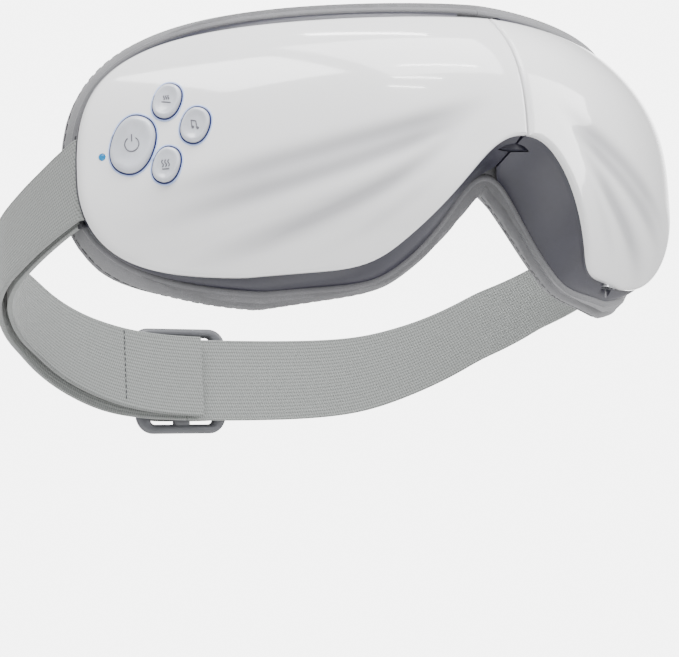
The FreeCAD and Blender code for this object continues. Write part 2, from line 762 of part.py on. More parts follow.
def buckle_frame():
    """Tri-glide: a rounded frame with two slots and a centre bar."""
    low_y = STRAP_BACK_Y + STRAP_THICKNESS / 2 + SLIDE_GAP + 0.1
    middle_z = strap_z(STRAP_BACK_Y)
    frame = box((BUCKLE_X - BUCKLE_LENGTH / 2, low_y, middle_z - BUCKLE_HEIGHT / 2),
                (BUCKLE_X + BUCKLE_LENGTH / 2, low_y + BUCKLE_THICKNESS, middle_z + BUCKLE_HEIGHT / 2))
    corners = [edge for edge in frame.Edges if abs(edge.Length - BUCKLE_THICKNESS) < 0.01]
    frame = frame.makeFillet(5.0, corners)
    for sign in (-1, 1):
        near = BUCKLE_X + sign * BUCKLE_BAR / 2
        far = BUCKLE_X + sign * (BUCKLE_LENGTH / 2 - BUCKLE_RAIL)
        sides = sorted([near, far])
        frame = frame.cut(box((sides[0], 0, middle_z - STRAP_WIDTH / 2 - 0.8),
                              (sides[1], 200, middle_z + STRAP_WIDTH / 2 + 0.8)))
    return frame


def buckle_strap():
    """The strap where it is lifted over the buckle's bar."""
    low_y = STRAP_BACK_Y + STRAP_THICKNESS / 2 + SLIDE_GAP
    low_z = strap_z(STRAP_BACK_Y) - STRAP_WIDTH / 2
    reach = BUCKLE_LENGTH / 2 - BUCKLE_RAIL - 0.5
    lift = BUCKLE_THICKNESS + 0.5

    def arch(height, half_length):
        left = Vector(BUCKLE_X - half_length, low_y, low_z)
        right = Vector(BUCKLE_X + half_length, low_y, low_z)
        return Part.Arc(left, Vector(BUCKLE_X, low_y + height, low_z), right)
    outer = arch(lift + STRAP_THICKNESS, reach)
    inner = arch(lift, reach - STRAP_THICKNESS * 1.3)
    edges = [
        outer.toShape(),
        inner.toShape(),
        Part.makeLine(outer.StartPoint, inner.StartPoint),
        Part.makeLine(outer.EndPoint, inner.EndPoint),
    ]
    return Part.Face(Part.Wire(Part.__sortEdges__(edges))).extrude(Vector(0, 0, STRAP_WIDTH))


# ---- Assembly ----

def shared_parts():
    """Nodes that are the same on both halves, drawn at +X."""
    return {
        "screws": screws(),
        "inner_frame": inner_frame(),
        "vibration_motor": vibration_motor(),
        "motor_weight": motor_weight(),
        "speaker": speaker(),
        "heater_film": outside_wedge(heater_film()),
        "air_bladder": outside_wedge(air_bladder()),
        "cushion": outside_wedge(cushion_ring()).cut(strap_anchor()).cut(screws()),
        "face_pad": outside_wedge(pad_sheet()),
        "strap_anchor": strap_anchor(),
    }


def control_parts(shell, housing):
    """Nodes of the control half, drawn at +X."""
    parts = {name: button_cap(x, z, width, height) for name, x, z, width, height in BUTTONS}
    parts["right_front_shell"] = control_shell(shell)
    for _, x, z, width, height in BUTTONS:
        housing = housing.cut(button_pocket(x, z, width, height))
    parts["right_housing"] = housing.cut(light_hole(0.15)).cut(leaf_slots("right"))
    parts["right_hinge_leaf"] = hinge_leaf("right")
    parts["right_strap_end"] = strap_end(END_BACK_Y)
    parts["right_strap_span"] = strap_span([0, LAYER_PITCH])
    parts["status_light"] = status_light()
    parts["button_board"] = button_board()
    parts["main_board"] = main_board()
    parts["air_pump"] = air_pump()
    parts["pump_crank"] = pump_crank()
    parts["valve_body"] = valve_body()
    parts["valve_plunger"] = valve_plunger()
    parts["valve_spring"] = valve_spring()
    return parts


def battery_parts(shell, housing):
    """Nodes of the battery half, drawn at +X."""
    return {
        "left_front_shell": shell,
        "left_housing": housing.cut(leaf_slots("left")).cut(socket_pocket()),
        "left_hinge_leaf": hinge_leaf("left"),
        "left_strap_end": strap_end(STRAP_BAR_Y + SEWN_LOOP),
        "left_strap_span": strap_span([0]),
        "battery": battery(),
        "charging_socket": charging_socket(),
    }


def middle_parts():
    """Nodes on the plane of symmetry."""
    return {
        "hinge_pin": hinge_pin(),
        "hinge_cover": hinge_cover(),
        "hinge_washers": hinge_washers(),
        "bridge_cushion": inside_wedge(cushion_ring()),
        "bridge_face_pad": inside_wedge(pad_sheet()),
        "strap_back": strap_back(),
        "buckle_frame": buckle_frame(),
        "buckle_strap": buckle_strap(),
    }


def all_parts():
    shell = front_shell()
    housing = tray().cut(strap_anchor()).cut(strap_pocket())
    shared = shared_parts()
    parts = middle_parts()
    for name, shape in shared.items():
        parts["left_" + name] = shape
        parts["right_" + name] = mirrored(shape)
    parts.update(battery_parts(shell, housing))
    for name, shape in control_parts(shell, housing).items():
        parts[name] = mirrored(shape)
    return parts


os.makedirs("parts", exist_ok=True)
for node, shape in sorted(all_parts().items()):
    shape.exportStep("parts/" + node + ".step")
    bounds = shape.optimalBoundingBox(False)
    print("%-22s %-5s solids %d volume %8.1f  x %7.1f %7.1f  y %7.1f %7.1f  z %7.1f %7.1f" % (
        node, shape.isValid(), len(shape.Solids), shape.Volume,
        bounds.XMin, bounds.XMax, bounds.YMin, bounds.YMax, bounds.ZMin, bounds.ZMax))
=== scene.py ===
"""Looks of a folding eye massager mask: glossy shells, soft face cushion, cloth pad and elastic strap.

Shapes are worked out in millimetres in the row frame and turned to metres when a mesh is made.
X runs across the face with the controls at -X, -Y is the front and Z is up.
"""
import json
import math

import bmesh
import bpy
import numpy as np
from mathutils import Matrix, Vector


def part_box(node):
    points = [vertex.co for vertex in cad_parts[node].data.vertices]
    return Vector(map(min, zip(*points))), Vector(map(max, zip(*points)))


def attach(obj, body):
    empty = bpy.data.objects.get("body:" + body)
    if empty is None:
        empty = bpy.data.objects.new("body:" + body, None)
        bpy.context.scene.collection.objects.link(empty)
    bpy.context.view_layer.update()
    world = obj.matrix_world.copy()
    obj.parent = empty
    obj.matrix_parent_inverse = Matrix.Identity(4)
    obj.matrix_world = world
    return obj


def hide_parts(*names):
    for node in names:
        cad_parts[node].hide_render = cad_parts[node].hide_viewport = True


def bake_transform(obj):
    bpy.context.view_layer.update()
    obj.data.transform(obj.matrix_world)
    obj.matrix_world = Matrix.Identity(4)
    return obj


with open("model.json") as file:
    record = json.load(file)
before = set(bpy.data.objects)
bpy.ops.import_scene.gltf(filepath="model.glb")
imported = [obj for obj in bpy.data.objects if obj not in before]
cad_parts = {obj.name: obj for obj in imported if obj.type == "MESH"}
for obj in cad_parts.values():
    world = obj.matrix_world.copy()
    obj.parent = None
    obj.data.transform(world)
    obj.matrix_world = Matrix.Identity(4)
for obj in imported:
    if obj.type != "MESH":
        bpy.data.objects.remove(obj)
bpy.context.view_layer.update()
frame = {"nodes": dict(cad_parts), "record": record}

MM = 0.001
# Point attribute that carries the painted shade along the shell's grooves.
PAINTED_GROOVE_SHADE = "painted_groove_shade"
SIDES = {"right": -1, "left": 1}

# ---- Shape of the mask, from the frame ----
SHELL_LOW, SHELL_HIGH = (np.array(corner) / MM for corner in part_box("left_front_shell"))
HALF_WIDTH = SHELL_HIGH[0]
TOP_Z = SHELL_HIGH[2]
BOTTOM_Z = -SHELL_LOW[2]
FRONT_Y = SHELL_LOW[1]
SEAM_X = 0.4
SWEEP_BACK = 65.9
SWEEP_POWER = 1.61
TOP_CROWN = 15.5
TOP_CROWN_POWER = 3.4
BOTTOM_CROWN = 13.5
BOTTOM_CROWN_POWER = 2.06
JOINT_DEPTH = 21.8
JOINT_TAPER = 4.4
HINGE_Y = -28.0
FOLD_LIMIT = 35.0

SHELL_ARCH = [(0, 5.8), (13.5, 5.8), (16, -7.6), (37.2, -28.2)]
WELT_ARCH = [(0, -2.2), (8.5, -2.2), (12, -20), (33, -32)]
CUSHION_ARCH = [(0, -6.4), (7.2, -12.4), (15.2, -24.9), (30.6, -33.8)]
INNER_ARCH = [(0, 5.8), (13.5, 5.8), (16, -7.6), (37.2, -24.3)]
PAD_ARCH = [(0, -0.8), (11.2, -5.2), (20.2, -18.6), (36.5, -26.6)]
# The cheek corner is tighter on the shell than on the soft parts behind it.
# Each pair is the superellipse power and the angle where its run starts.
SHELL_CHEEK = (6.7, 78)
SOFT_CHEEK = (4.5, 72)
ARCH_STEPS = 36
UNDER_STEPS = 44
UPPER_STEPS = 70
SEAM_STEPS = 22


# ---- Mesh helpers ----

def sweep(x):
    return SWEEP_BACK * (np.abs(x) / HALF_WIDTH) ** SWEEP_POWER


def crown(z):
    over = TOP_CROWN * (np.maximum(z, 0) / TOP_Z) ** TOP_CROWN_POWER
    return over + BOTTOM_CROWN * (np.maximum(-z, 0) / BOTTOM_Z) ** BOTTOM_CROWN_POWER


def surface_y(x, z):
    return FRONT_Y + sweep(x) + crown(z)


def joint_y(x):
    return FRONT_Y + sweep(x) + JOINT_DEPTH - JOINT_TAPER * (x / HALF_WIDTH) ** 2


def rear_y(x):
    return 5 + 45 * (np.abs(x) / 98) ** 1.7


def smooth(t):
    t = np.clip(t, 0, 1)
    return t * t * (3 - 2 * t)


def resample(points, count):
    """Evenly spaced points along a polyline, both ends included."""
    points = np.asarray(points, float)
    steps = np.linalg.norm(np.diff(points, axis=0), axis=1)
    run = np.concatenate([[0], np.cumsum(steps)])
    places = np.linspace(0, run[-1], count)
    return np.stack([np.interp(places, run, points[:, k]) for k in range(points.shape[1])], 1)


def bezier(control, count=200):
    t = np.linspace(0, 1, count)[:, None]
    a, b, c, d = (np.array(p, float) for p in control)
    return a * (1 - t) ** 3 + 3 * b * t * (1 - t) ** 2 + 3 * c * t * t * (1 - t) + d * t ** 3


def oval_run(half_width, height, width_power, height_power, first, last):
    t = np.radians(np.linspace(first, last, 1500))
    across = half_width * np.abs(np.cos(t)) ** (2 / width_power)
    return np.stack([across, height * np.sin(t) ** (2 / height_power)], 1)


def outline(half_width, top, bottom, arch, cheek):
    """Half outline in the XZ plane: nose arch, under the cheek, round the temple and over to the middle."""
    nose = resample(bezier(arch), ARCH_STEPS)
    power, first = cheek
    lower = oval_run(half_width, -bottom, power, 2.1, first, 0)
    under = resample(np.vstack([nose[-1:], lower]), UNDER_STEPS)
    over = resample(oval_run(half_width, top, 5.1, 2.9, 0, 90), UPPER_STEPS)
    line = np.vstack([nose, under[1:], over[1:]])
    bend = np.exp(-((np.arange(len(line)) - ARCH_STEPS + 1) / 5.0) ** 2)[:, None]
    for _ in range(14):
        eased = (np.roll(line, 1, 0) + np.roll(line, -1, 0)) / 2
        line = line + (eased - line) * bend * 0.6
    return line


def closed_outline(half_width, top, bottom, arch, seam_x=SEAM_X, cheek=SHELL_CHEEK):
    """The half outline with its straight edge along the seam."""
    line = outline(half_width, top, bottom, arch, cheek)
    line[:, 0] = np.maximum(line[:, 0], seam_x)
    seam = resample([line[-1], line[0]], SEAM_STEPS)
    return np.vstack([line, seam[1:-1]])


def inset(loop, distance):
    """A closed outline moved inward."""
    along = np.roll(loop, -1, 0) - np.roll(loop, 1, 0)
    along /= np.linalg.norm(along, axis=1)[:, None]
    return loop + np.stack([-along[:, 1], along[:, 0]], 1) * distance


def towards(loop, centre, share):
    return loop + (np.array(centre) - loop) * share


def lift(loop, height):
    """Points of the XZ plane given their Y."""
    return np.stack([loop[:, 0], np.broadcast_to(height, len(loop)), loop[:, 1]], 1)


def skin(rings, close_ends=True, closed=True):
    """Vertices and faces through successive rings with the same number of points."""
    count = len(rings[0])
    points = list(np.vstack(rings))
    faces = []
    last = count if closed else count - 1
    for r in range(len(rings) - 1):
        low, high = r * count, (r + 1) * count
        for i in range(last):
            j = (i + 1) % count
            faces.append((low + i, low + j, high + j, high + i))
    if close_ends:
        for ring, start, flip in ((rings[0], 0, True), (rings[-1], (len(rings) - 1) * count, False)):
            points.append(np.mean(ring, axis=0))
            tip = len(points) - 1
            for i in range(count):
                j = (i + 1) % count
                faces.append((start + j, start + i, tip) if flip else (start + i, start + j, tip))
    return np.array(points), faces


def new_piece(name, points, faces, material, smooth_shade=True):
    """A mesh object from millimetre points; normals are made to face outward."""
    mesh = bpy.data.meshes.new(name)
    mesh.from_pydata([tuple(p) for p in np.asarray(points) * MM], [], faces)
    work = bmesh.new()
    work.from_mesh(mesh)
    bmesh.ops.remove_doubles(work, verts=work.verts, dist=2e-6)
    bmesh.ops.dissolve_degenerate(work, edges=work.edges, dist=1e-6)
    bmesh.ops.recalc_face_normals(work, faces=work.faces)
    work.to_mesh(mesh)
    work.free()
    obj = bpy.data.objects.new(name, mesh)
    bpy.context.scene.collection.objects.link(obj)
    mesh.materials.append(material)
    if smooth_shade:
        mesh.polygons.foreach_set("use_smooth", [True] * len(mesh.polygons))
    return obj


def plane_uv(obj):
    """UV in metres from X and Z at rest."""
    layer = obj.data.uv_layers.new(name="UVMap")
    for loop in obj.data.loops:
        place = obj.data.vertices[loop.vertex_index].co
        layer.data[loop.index].uv = (place.x, place.z)


def shade_by_angle(obj, degrees):
    obj.data.polygons.foreach_set("use_smooth", [True] * len(obj.data.polygons))
    obj.data.set_sharp_from_angle(angle=math.radians(degrees))


def cut(obj, *tools):
    """Boolean difference, applied."""
    for tool in tools:
        modifier = obj.modifiers.new("cut", "BOOLEAN")
        modifier.operation = "DIFFERENCE"
        modifier.solver = "MANIFOLD"
        modifier.object = tool
    apply_modifiers(obj)
    for tool in tools:
        bpy.data.objects.remove(tool)


def apply_modifiers(obj):
    bpy.context.view_layer.update()
    graph = bpy.context.evaluated_depsgraph_get()
    mesh = bpy.data.meshes.new_from_object(obj.evaluated_get(graph))
    obj.modifiers.clear()
    obj.data = mesh


def tube(points, radius, sides=10, flat=1.0, up=None):
    """Rings of an oval tube round a polyline; flat squeezes it across `up`."""
    points = np.asarray(points, float)
    along = np.gradient(points, axis=0)
    along /= np.linalg.norm(along, axis=1)[:, None]
    if up is None:
        up = np.array([0.0, 1.0, 0.0])
    up = np.broadcast_to(up, points.shape)
    side = np.cross(along, up)
    side /= np.linalg.norm(side, axis=1)[:, None]
    top = np.cross(side, along)
    turns = np.linspace(0, 2 * math.pi, sides, endpoint=False)
    return [points[i] + radius * (np.cos(turns)[:, None] * side[i] + flat * np.sin(turns)[:, None] * top[i])
            for i in range(len(points))]


def mirror_x(points, sign):
    out = np.array(points, float)
    out[..., 0] *= sign
    return out


# ---- Materials ----

class Nodes:
    """Short calls for building one material's node tree."""

    def __init__(self, name, **sockets):
        self.material = bpy.data.materials.new(name)
        self.material.use_nodes = True
        self.tree = self.material.node_tree
        self.shader = self.tree.nodes["Principled BSDF"]
        self.set(**sockets)

    def set(self, **sockets):
        for key, value in sockets.items():
            self.shader.inputs[key.replace("_", " ")].default_value = value

    def add(self, kind, *links, **values):
        """A node; links are (socket, source) pairs and values are its properties or plain inputs."""
        node = self.tree.nodes.new("ShaderNode" + kind)
        for key, value in values.items():
            socket = node.inputs.get(key.replace("_", " "))
            if hasattr(node, key):
                setattr(node, key, value)
            else:
                socket.default_value = value
        for socket, source in links:
            self.link(source, node.inputs[socket])
        return node

    def link(self, source, socket):
        self.tree.links.new(source.outputs[0] if hasattr(source, "outputs") else source, socket)

    def out(self, source, name):
        self.link(source, self.shader.inputs[name])

    def ramp(self, source, *stops):
        node = self.add("ValToRGB", (0, source))
        ramp = node.color_ramp
        while len(ramp.elements) < len(stops):
            ramp.elements.new(0.5)
        for element, (place, color) in zip(ramp.elements, stops):
            element.position = place
            element.color = grey(color) if isinstance(color, (int, float)) else (*color, 1)
        return node

    def math(self, operation, a, b=None):
        node = self.tree.nodes.new("ShaderNodeMath")
        node.operation = operation
        for socket, value in ((node.inputs[0], a), (node.inputs[1], b)):
            if value is None:
                continue
            if isinstance(value, (int, float)):
                socket.default_value = value
            else:
                self.link(value, socket)
        return node

    def mix(self, factor, a, b):
        node = self.tree.nodes.new("ShaderNodeMix")
        node.data_type = "RGBA"
        for socket, value in ((node.inputs[0], factor), (node.inputs[6], a), (node.inputs[7], b)):
            if isinstance(value, (int, float)):
                socket.default_value = value
            elif isinstance(value, tuple):
                socket.default_value = (*value, 1)
            else:
                self.link(value, socket)
        return node.outputs[2]

    def bump(self, height, depth_mm, strength=1.0, under=None):
        node = self.add("Bump", ("Height", height))
        node.inputs["Distance"].default_value = depth_mm * MM
        node.inputs["Strength"].default_value = strength
        if under is not None:
            self.link(under.outputs[0], node.inputs["Normal"])
        return node

    def object_place(self):
        return self.add("TexCoord").outputs["Object"]

    def uv_place(self):
        return self.add("TexCoord").outputs["UV"]

    def noise(self, place, per_mm, detail=3.0, roughness=0.5):
        return self.add("TexNoise", ("Vector", place), Scale=per_mm / MM, Detail=detail, Roughness=roughness)


def grey(value):
    return (value, value, value, 1)


def gloss_shell():
    """Glossy white plastic, with painted shade darkening the base colour along the shell's grooves."""
    made = Nodes("shell_white_gloss", Roughness=0.1, Coat_Weight=0.5, Coat_Roughness=0.03, IOR=1.5)
    place = made.object_place()
    cloud = made.noise(place, 0.03, 2)
    plain_white = made.ramp(cloud, (0.3, (0.87, 0.87, 0.88)), (0.7, (0.90, 0.90, 0.905)))
    # Painted shade: the base colour darkens to grey where the groove attribute is high.
    groove = made.add("Attribute", attribute_name=PAINTED_GROOVE_SHADE)
    made.out(made.mix(groove.outputs["Fac"], plain_white, (0.50, 0.50, 0.52)), "Base Color")
    fine = made.noise(place, 0.9, 4)
    made.out(made.ramp(fine, (0.3, 0.08), (0.7, 0.13)), "Roughness")
    made.out(made.bump(made.noise(place, 0.25, 2), 0.006, 0.3), "Normal")
    return made.material


def moulded(name, color, roughness, grain_mm=0.35, depth=0.02, coat=0.0, metal=0.0):
    """Fine-grained plastic or metal with slight wear in its tone."""
    made = Nodes(name, Metallic=metal, Coat_Weight=coat, Coat_Roughness=0.25)
    place = made.object_place()
    dark = tuple(channel * 0.9 for channel in color)
    light = tuple(min(channel * 1.08, 1) for channel in color)
    made.out(made.ramp(made.noise(place, 0.12, 4), (0.35, dark), (0.65, light)), "Base Color")
    grain = made.noise(place, 1 / grain_mm, 3)
    made.out(made.ramp(grain, (0.3, max(roughness - 0.05, 0.02)), (0.7, roughness + 0.06)), "Roughness")
    made.out(made.bump(grain, depth, 0.5), "Normal")
    return made.material


def brushed(name, color, roughness):
    made = Nodes(name, Metallic=1.0)
    place = made.object_place()
    stretched = made.add("Mapping", ("Vector", place), Scale=(1, 1, 0.04))
    lines = made.noise(stretched, 3.0, 4)
    dark = tuple(channel * 0.85 for channel in color)
    made.out(made.ramp(lines, (0.3, dark), (0.7, color)), "Base Color")
    made.out(made.ramp(lines, (0.3, roughness - 0.08), (0.7, roughness + 0.1)), "Roughness")
    made.out(made.bump(lines, 0.01, 0.4), "Normal")
    return made.material


def leather(name, color):
    """Soft synthetic leather: small pebbles, broad soft creases and a faint sheen."""
    made = Nodes(name, Sheen_Weight=0.25, Sheen_Roughness=0.4, Specular_IOR_Level=0.4)
    place = made.object_place()
    pebble = made.add("TexVoronoi", ("Vector", place), feature="DISTANCE_TO_EDGE", Scale=1.6 / MM)
    pores = made.ramp(pebble, (0.0, 0.0), (0.22, 1.0))
    creases = made.noise(place, 0.16, 5, 0.6)
    dark = tuple(channel * 0.86 for channel in color)
    light = tuple(channel * 1.08 for channel in color)
    tone = made.ramp(creases, (0.35, dark), (0.65, light))
    made.out(made.mix(made.math("MULTIPLY", pores, 0.9), dark, tone), "Base Color")
    made.out(made.ramp(creases, (0.3, 0.46), (0.7, 0.6)), "Roughness")
    made.out(made.bump(pores, 0.05, 0.5, made.bump(creases, 0.5, 0.35)), "Normal")
    return made.material


def webbing(name, color, rib_mm=1.15, weft_mm=0.85):
    """Elastic webbing: fine ribs along the strap crossed by a finer weft; UV is in metres."""
    made = Nodes(name, Roughness=0.82, Sheen_Weight=0.35, Sheen_Roughness=0.5, Specular_IOR_Level=0.25)
    split = made.add("SeparateXYZ", ("Vector", made.uv_place()))
    length, width = split.outputs[0], split.outputs[1]
    wander = made.math("MULTIPLY", made.noise(made.uv_place(), 0.9, 3), 2.5)
    column = made.math("MULTIPLY", width, math.pi / (rib_mm * MM))
    rib = made.math("ABSOLUTE", made.math("SINE", column))
    row = made.math("MULTIPLY", length, 2 * math.pi / (weft_mm * MM))
    weft = made.math("SINE", made.math("ADD", made.math("ADD", row, column), wander))
    weft = made.math("MULTIPLY", made.math("ADD", weft, 1.0), 0.5)
    weave = made.math("ADD", made.math("MULTIPLY", rib, 0.30), made.math("MULTIPLY", weft, 0.32))
    full = made.math("ADD", weave, made.math("MULTIPLY", made.noise(made.uv_place(), 2.2, 4, 0.7), 0.42))
    dark = tuple(channel * 0.52 for channel in color)
    light = tuple(channel * 1.3 for channel in color)
    made.out(made.ramp(full, (0.2, dark), (0.58, color), (0.95, light)), "Base Color")
    made.out(made.bump(full, 0.2, 0.9), "Normal")
    return made.material


def face_cloth():
    """Printed knit: navy at the nose, brighter blue in the lower lobes, with thin cyan ripples of light."""
    made = Nodes("face_cloth_print", Roughness=0.75, Sheen_Weight=0.5, Sheen_Roughness=0.35,
                 Specular_IOR_Level=0.3)
    place = made.uv_place()
    split = made.add("SeparateXYZ", ("Vector", place))
    outward = made.math("DIVIDE", made.math("ABSOLUTE", split.outputs[0]), 70 * MM)
    down = made.math("DIVIDE", made.math("SUBTRACT", 16 * MM, split.outputs[1]), 46 * MM)
    lobes = made.math("MULTIPLY", made.math("MULTIPLY", outward, 1.15), down)
    cloud = made.noise(place, 0.045, 5, 0.6)
    glow = made.math("ADD", lobes, made.math("MULTIPLY", made.math("SUBTRACT", cloud, 0.5), 0.9))
    ground = made.ramp(glow, (0.0, (0.004, 0.0065, 0.016)), (0.26, (0.006, 0.019, 0.055)),
                       (0.52, (0.009, 0.058, 0.20)), (0.85, (0.03, 0.17, 0.50)))
    warp = made.add("TexNoise", ("Vector", place), Scale=42.0, Detail=4.0)
    bent = made.add("VectorMath", operation="MULTIPLY_ADD")
    made.link(warp.outputs["Color"], bent.inputs[0])
    bent.inputs[1].default_value = (0.035, 0.035, 0.0)
    made.link(place, bent.inputs[2])
    cells = made.add("TexVoronoi", ("Vector", bent), feature="DISTANCE_TO_EDGE", Scale=34.0)
    vein = made.ramp(cells, (0.0, 1.0), (0.014, 0.5), (0.045, 0.0))
    patchy = made.ramp(made.noise(place, 0.05, 3), (0.46, 0.0), (0.66, 0.75))
    strength = made.math("MULTIPLY", made.math("MULTIPLY", vein, patchy),
                         made.ramp(glow, (0.1, 0.25), (0.7, 1.0)))
    lines = made.mix(strength, ground, (0.08, 0.42, 0.52))
    stitch_x = made.math("SINE", made.math("MULTIPLY", split.outputs[0], 2 * math.pi / (0.9 * MM)))
    stitch_z = made.math("SINE", made.math("MULTIPLY", split.outputs[1], 2 * math.pi / (0.7 * MM)))
    knit = made.math("ADD", made.math("MULTIPLY", made.math("MULTIPLY", stitch_x, stitch_z), 0.5), 0.5)
    fuzz = made.noise(place, 2.6, 4)
    grain = made.math("ADD", made.math("MULTIPLY", knit, 0.5), made.math("MULTIPLY", fuzz, 0.8))
    shade = made.ramp(grain, (0.3, 0.55), (0.9, 1.0))
    tint = made.add("Mix", data_type="RGBA", blend_type="MULTIPLY")
    tint.inputs[0].default_value = 0.8
    made.link(lines, tint.inputs[6])
    made.link(shade, tint.inputs[7])
    made.out(tint.outputs[2], "Base Color")
    made.out(made.bump(grain, 0.16, 0.8), "Normal")
    return made.material


def twill(name, color):
    """Diagonal twill of the bound edge."""
    made = Nodes(name, Roughness=0.8, Sheen_Weight=0.6, Sheen_Roughness=0.35, Specular_IOR_Level=0.25)
    split = made.add("SeparateXYZ", ("Vector", made.object_place()))
    slant = made.math("ADD", made.math("MULTIPLY", split.outputs[0], 1.0),
                      made.math("MULTIPLY", split.outputs[2], 1.3))
    wave = made.math("SINE", made.math("MULTIPLY", slant, 2 * math.pi / (1.1 * MM)))
    fuzz = made.noise(made.object_place(), 2.2, 4)
    full = made.math("ADD", made.math("MULTIPLY", wave, 0.35), fuzz)
    dark = tuple(channel * 0.4 for channel in color)
    light = tuple(channel * 2.0 for channel in color)
    made.out(made.ramp(full, (0.15, dark), (0.5, color), (0.85, light)), "Base Color")
    made.out(made.bump(full, 0.15, 0.9), "Normal")
    return made.material


def printed_board():
    made = Nodes("board_green", Roughness=0.4, Coat_Weight=0.3)
    place = made.object_place()
    tracks = made.add("TexBrick", ("Vector", place), Scale=0.4 / MM)
    tracks.inputs["Color1"].default_value = (0.012, 0.10, 0.045, 1)
    tracks.inputs["Color2"].default_value = (0.018, 0.13, 0.06, 1)
    tracks.inputs["Mortar"].default_value = (0.03, 0.2, 0.09, 1)
    made.out(tracks, "Base Color")
    made.out(made.bump(made.noise(place, 1.0, 2), 0.02, 0.4), "Normal")
    return made.material


def film(name, color, alpha_rough=0.3):
    made = Nodes(name, Roughness=alpha_rough, Coat_Weight=0.4)
    place = made.object_place()
    dark = tuple(channel * 0.75 for channel in color)
    made.out(made.ramp(made.noise(place, 0.2, 5, 0.7), (0.35, dark), (0.65, color)), "Base Color")
    made.out(made.bump(made.noise(place, 0.3, 4), 0.2, 0.5), "Normal")
    return made.material


def light_pipe():
    made = Nodes("status_light_cyan", Roughness=0.25, Emission_Strength=0.6)
    cloud = made.noise(made.object_place(), 0.8, 2)
    made.out(made.ramp(cloud, (0.3, (0.0, 0.03, 0.12)), (0.7, (0.0, 0.05, 0.18))), "Base Color")
    made.out(made.ramp(cloud, (0.3, (0.0, 0.40, 0.85)), (0.7, (0.0, 0.50, 1.0))), "Emission Color")
    return made.material


M = {
    "shell_white": gloss_shell(),
    "housing_grey": moulded("housing_satin", (0.017, 0.0165, 0.030), 0.36, coat=0.15),
    "button_white": moulded("button_gloss", (0.56, 0.58, 0.63), 0.2, depth=0.006, coat=0.5),
    "button_ring": moulded("button_ring_navy", (0.01, 0.016, 0.12), 0.35, depth=0.01),
    # Pale blue of the button halos: painted glow of the button light on the shell, in a ring that does not emit.
    "button_halo": moulded("button_halo_painted_glow", (0.50, 0.62, 0.95), 0.4, depth=0.01),
    # Dark grey of the icon strokes: painted shade of the icons debossed in the button faces.
    "button_icon": moulded("button_icon_painted_shade", (0.14, 0.14, 0.165), 0.5, depth=0.01),
    "status_light": light_pipe(),
    "steel": brushed("steel_brushed", (0.62, 0.63, 0.65), 0.3),
    "weight_metal": brushed("weight_sintered", (0.50, 0.47, 0.42), 0.45),
    "motor_can": brushed("motor_can_plated", (0.58, 0.58, 0.60), 0.35),
    "crank_plastic": moulded("crank_moulded", (0.7, 0.7, 0.62), 0.5),
    "washer_plastic": moulded("washer_moulded", (0.8, 0.8, 0.77), 0.5),
    "inner_plastic": moulded("inner_moulded", (0.02, 0.02, 0.026), 0.55),
    "circuit_board": printed_board(),
    "battery_wrap": film("battery_shrink", (0.03, 0.10, 0.30)),
    "cushion_leather": leather("cushion_leather_soft", (0.215, 0.215, 0.225)),
    "piping_leather": leather("piping_leather_grey", (0.17, 0.17, 0.18)),
    "thread_grey": moulded("thread_grey", (0.05, 0.05, 0.055), 0.8, depth=0.05),
    "thread_navy": moulded("thread_navy", (0.002, 0.003, 0.008), 0.8, depth=0.05),
    "face_cloth": face_cloth(),
    "pad_binding": twill("pad_binding_twill", (0.007, 0.013, 0.048)),
    "bladder_film": film("bladder_skin", (0.62, 0.62, 0.66)),
    "heater_film": film("heater_amber", (0.55, 0.26, 0.04)),
    "strap_webbing": webbing("strap_weave", (0.235, 0.246, 0.238)),
    "buckle_plastic": moulded("buckle_satin", (0.115, 0.118, 0.128), 0.42),
}


def give_cad_materials():
    """Every node of the frame gets the material of its slot."""
    slots = {part["node"]: part["material_slot"] for part in frame["record"]["subparts"]}
    for name, obj in frame["nodes"].items():
        obj.data.materials.clear()
        obj.data.materials.append(M[slots[name]])
        shade_by_angle(obj, 35)


# ---- Front shells ----

SHELL_THICKNESS = 2.4
EDGE_RADIUS = 1.1
PATCH_CENTRE = (54, 5)


# Grooves that fan out from the seam: start, control point and end in XZ, half width and depth.
WAVES = [
    ((8, 16), (36, 6), (98, -9), 2.5, 1.0),
    ((10, 14), (36, -1), (98, -16), 2.5, 1.0),
    ((16, 10), (34, -11), (86, -27), 2.8, 1.1),
    ((21, 0), (31, -15), (56, -26), 2.2, 0.6),
]


def wave_depth(x, z):
    """Depth of the shallow grooves below the plain surface."""
    x = np.abs(x)
    t = np.linspace(0, 1, 60)[:, None]
    depth = np.zeros_like(x)
    for start, control, end, width, deepest in WAVES:
        line = (1 - t) ** 2 * np.array(start) + 2 * t * (1 - t) * np.array(control) + t * t * np.array(end)
        middle = np.interp(x, line[:, 0], line[:, 1])
        spread = width * (0.75 + 0.9 * x / HALF_WIDTH)
        fade = smooth((x - start[0]) / 24) * smooth((end[0] - x) / 34)
        depth += deepest * np.exp(-((z - middle) / spread) ** 2) * fade
    return depth


def patch_rings(loop, height, centre, steps, first=0.0):
    """Rings from a closed outline in to its centre; height(x, z) gives Y."""
    rings = []
    for share in np.linspace(first, 0.97, steps):
        ring = towards(loop, centre, share)
        rings.append(lift(ring, height(ring[:, 0], ring[:, 1])))
    return rings


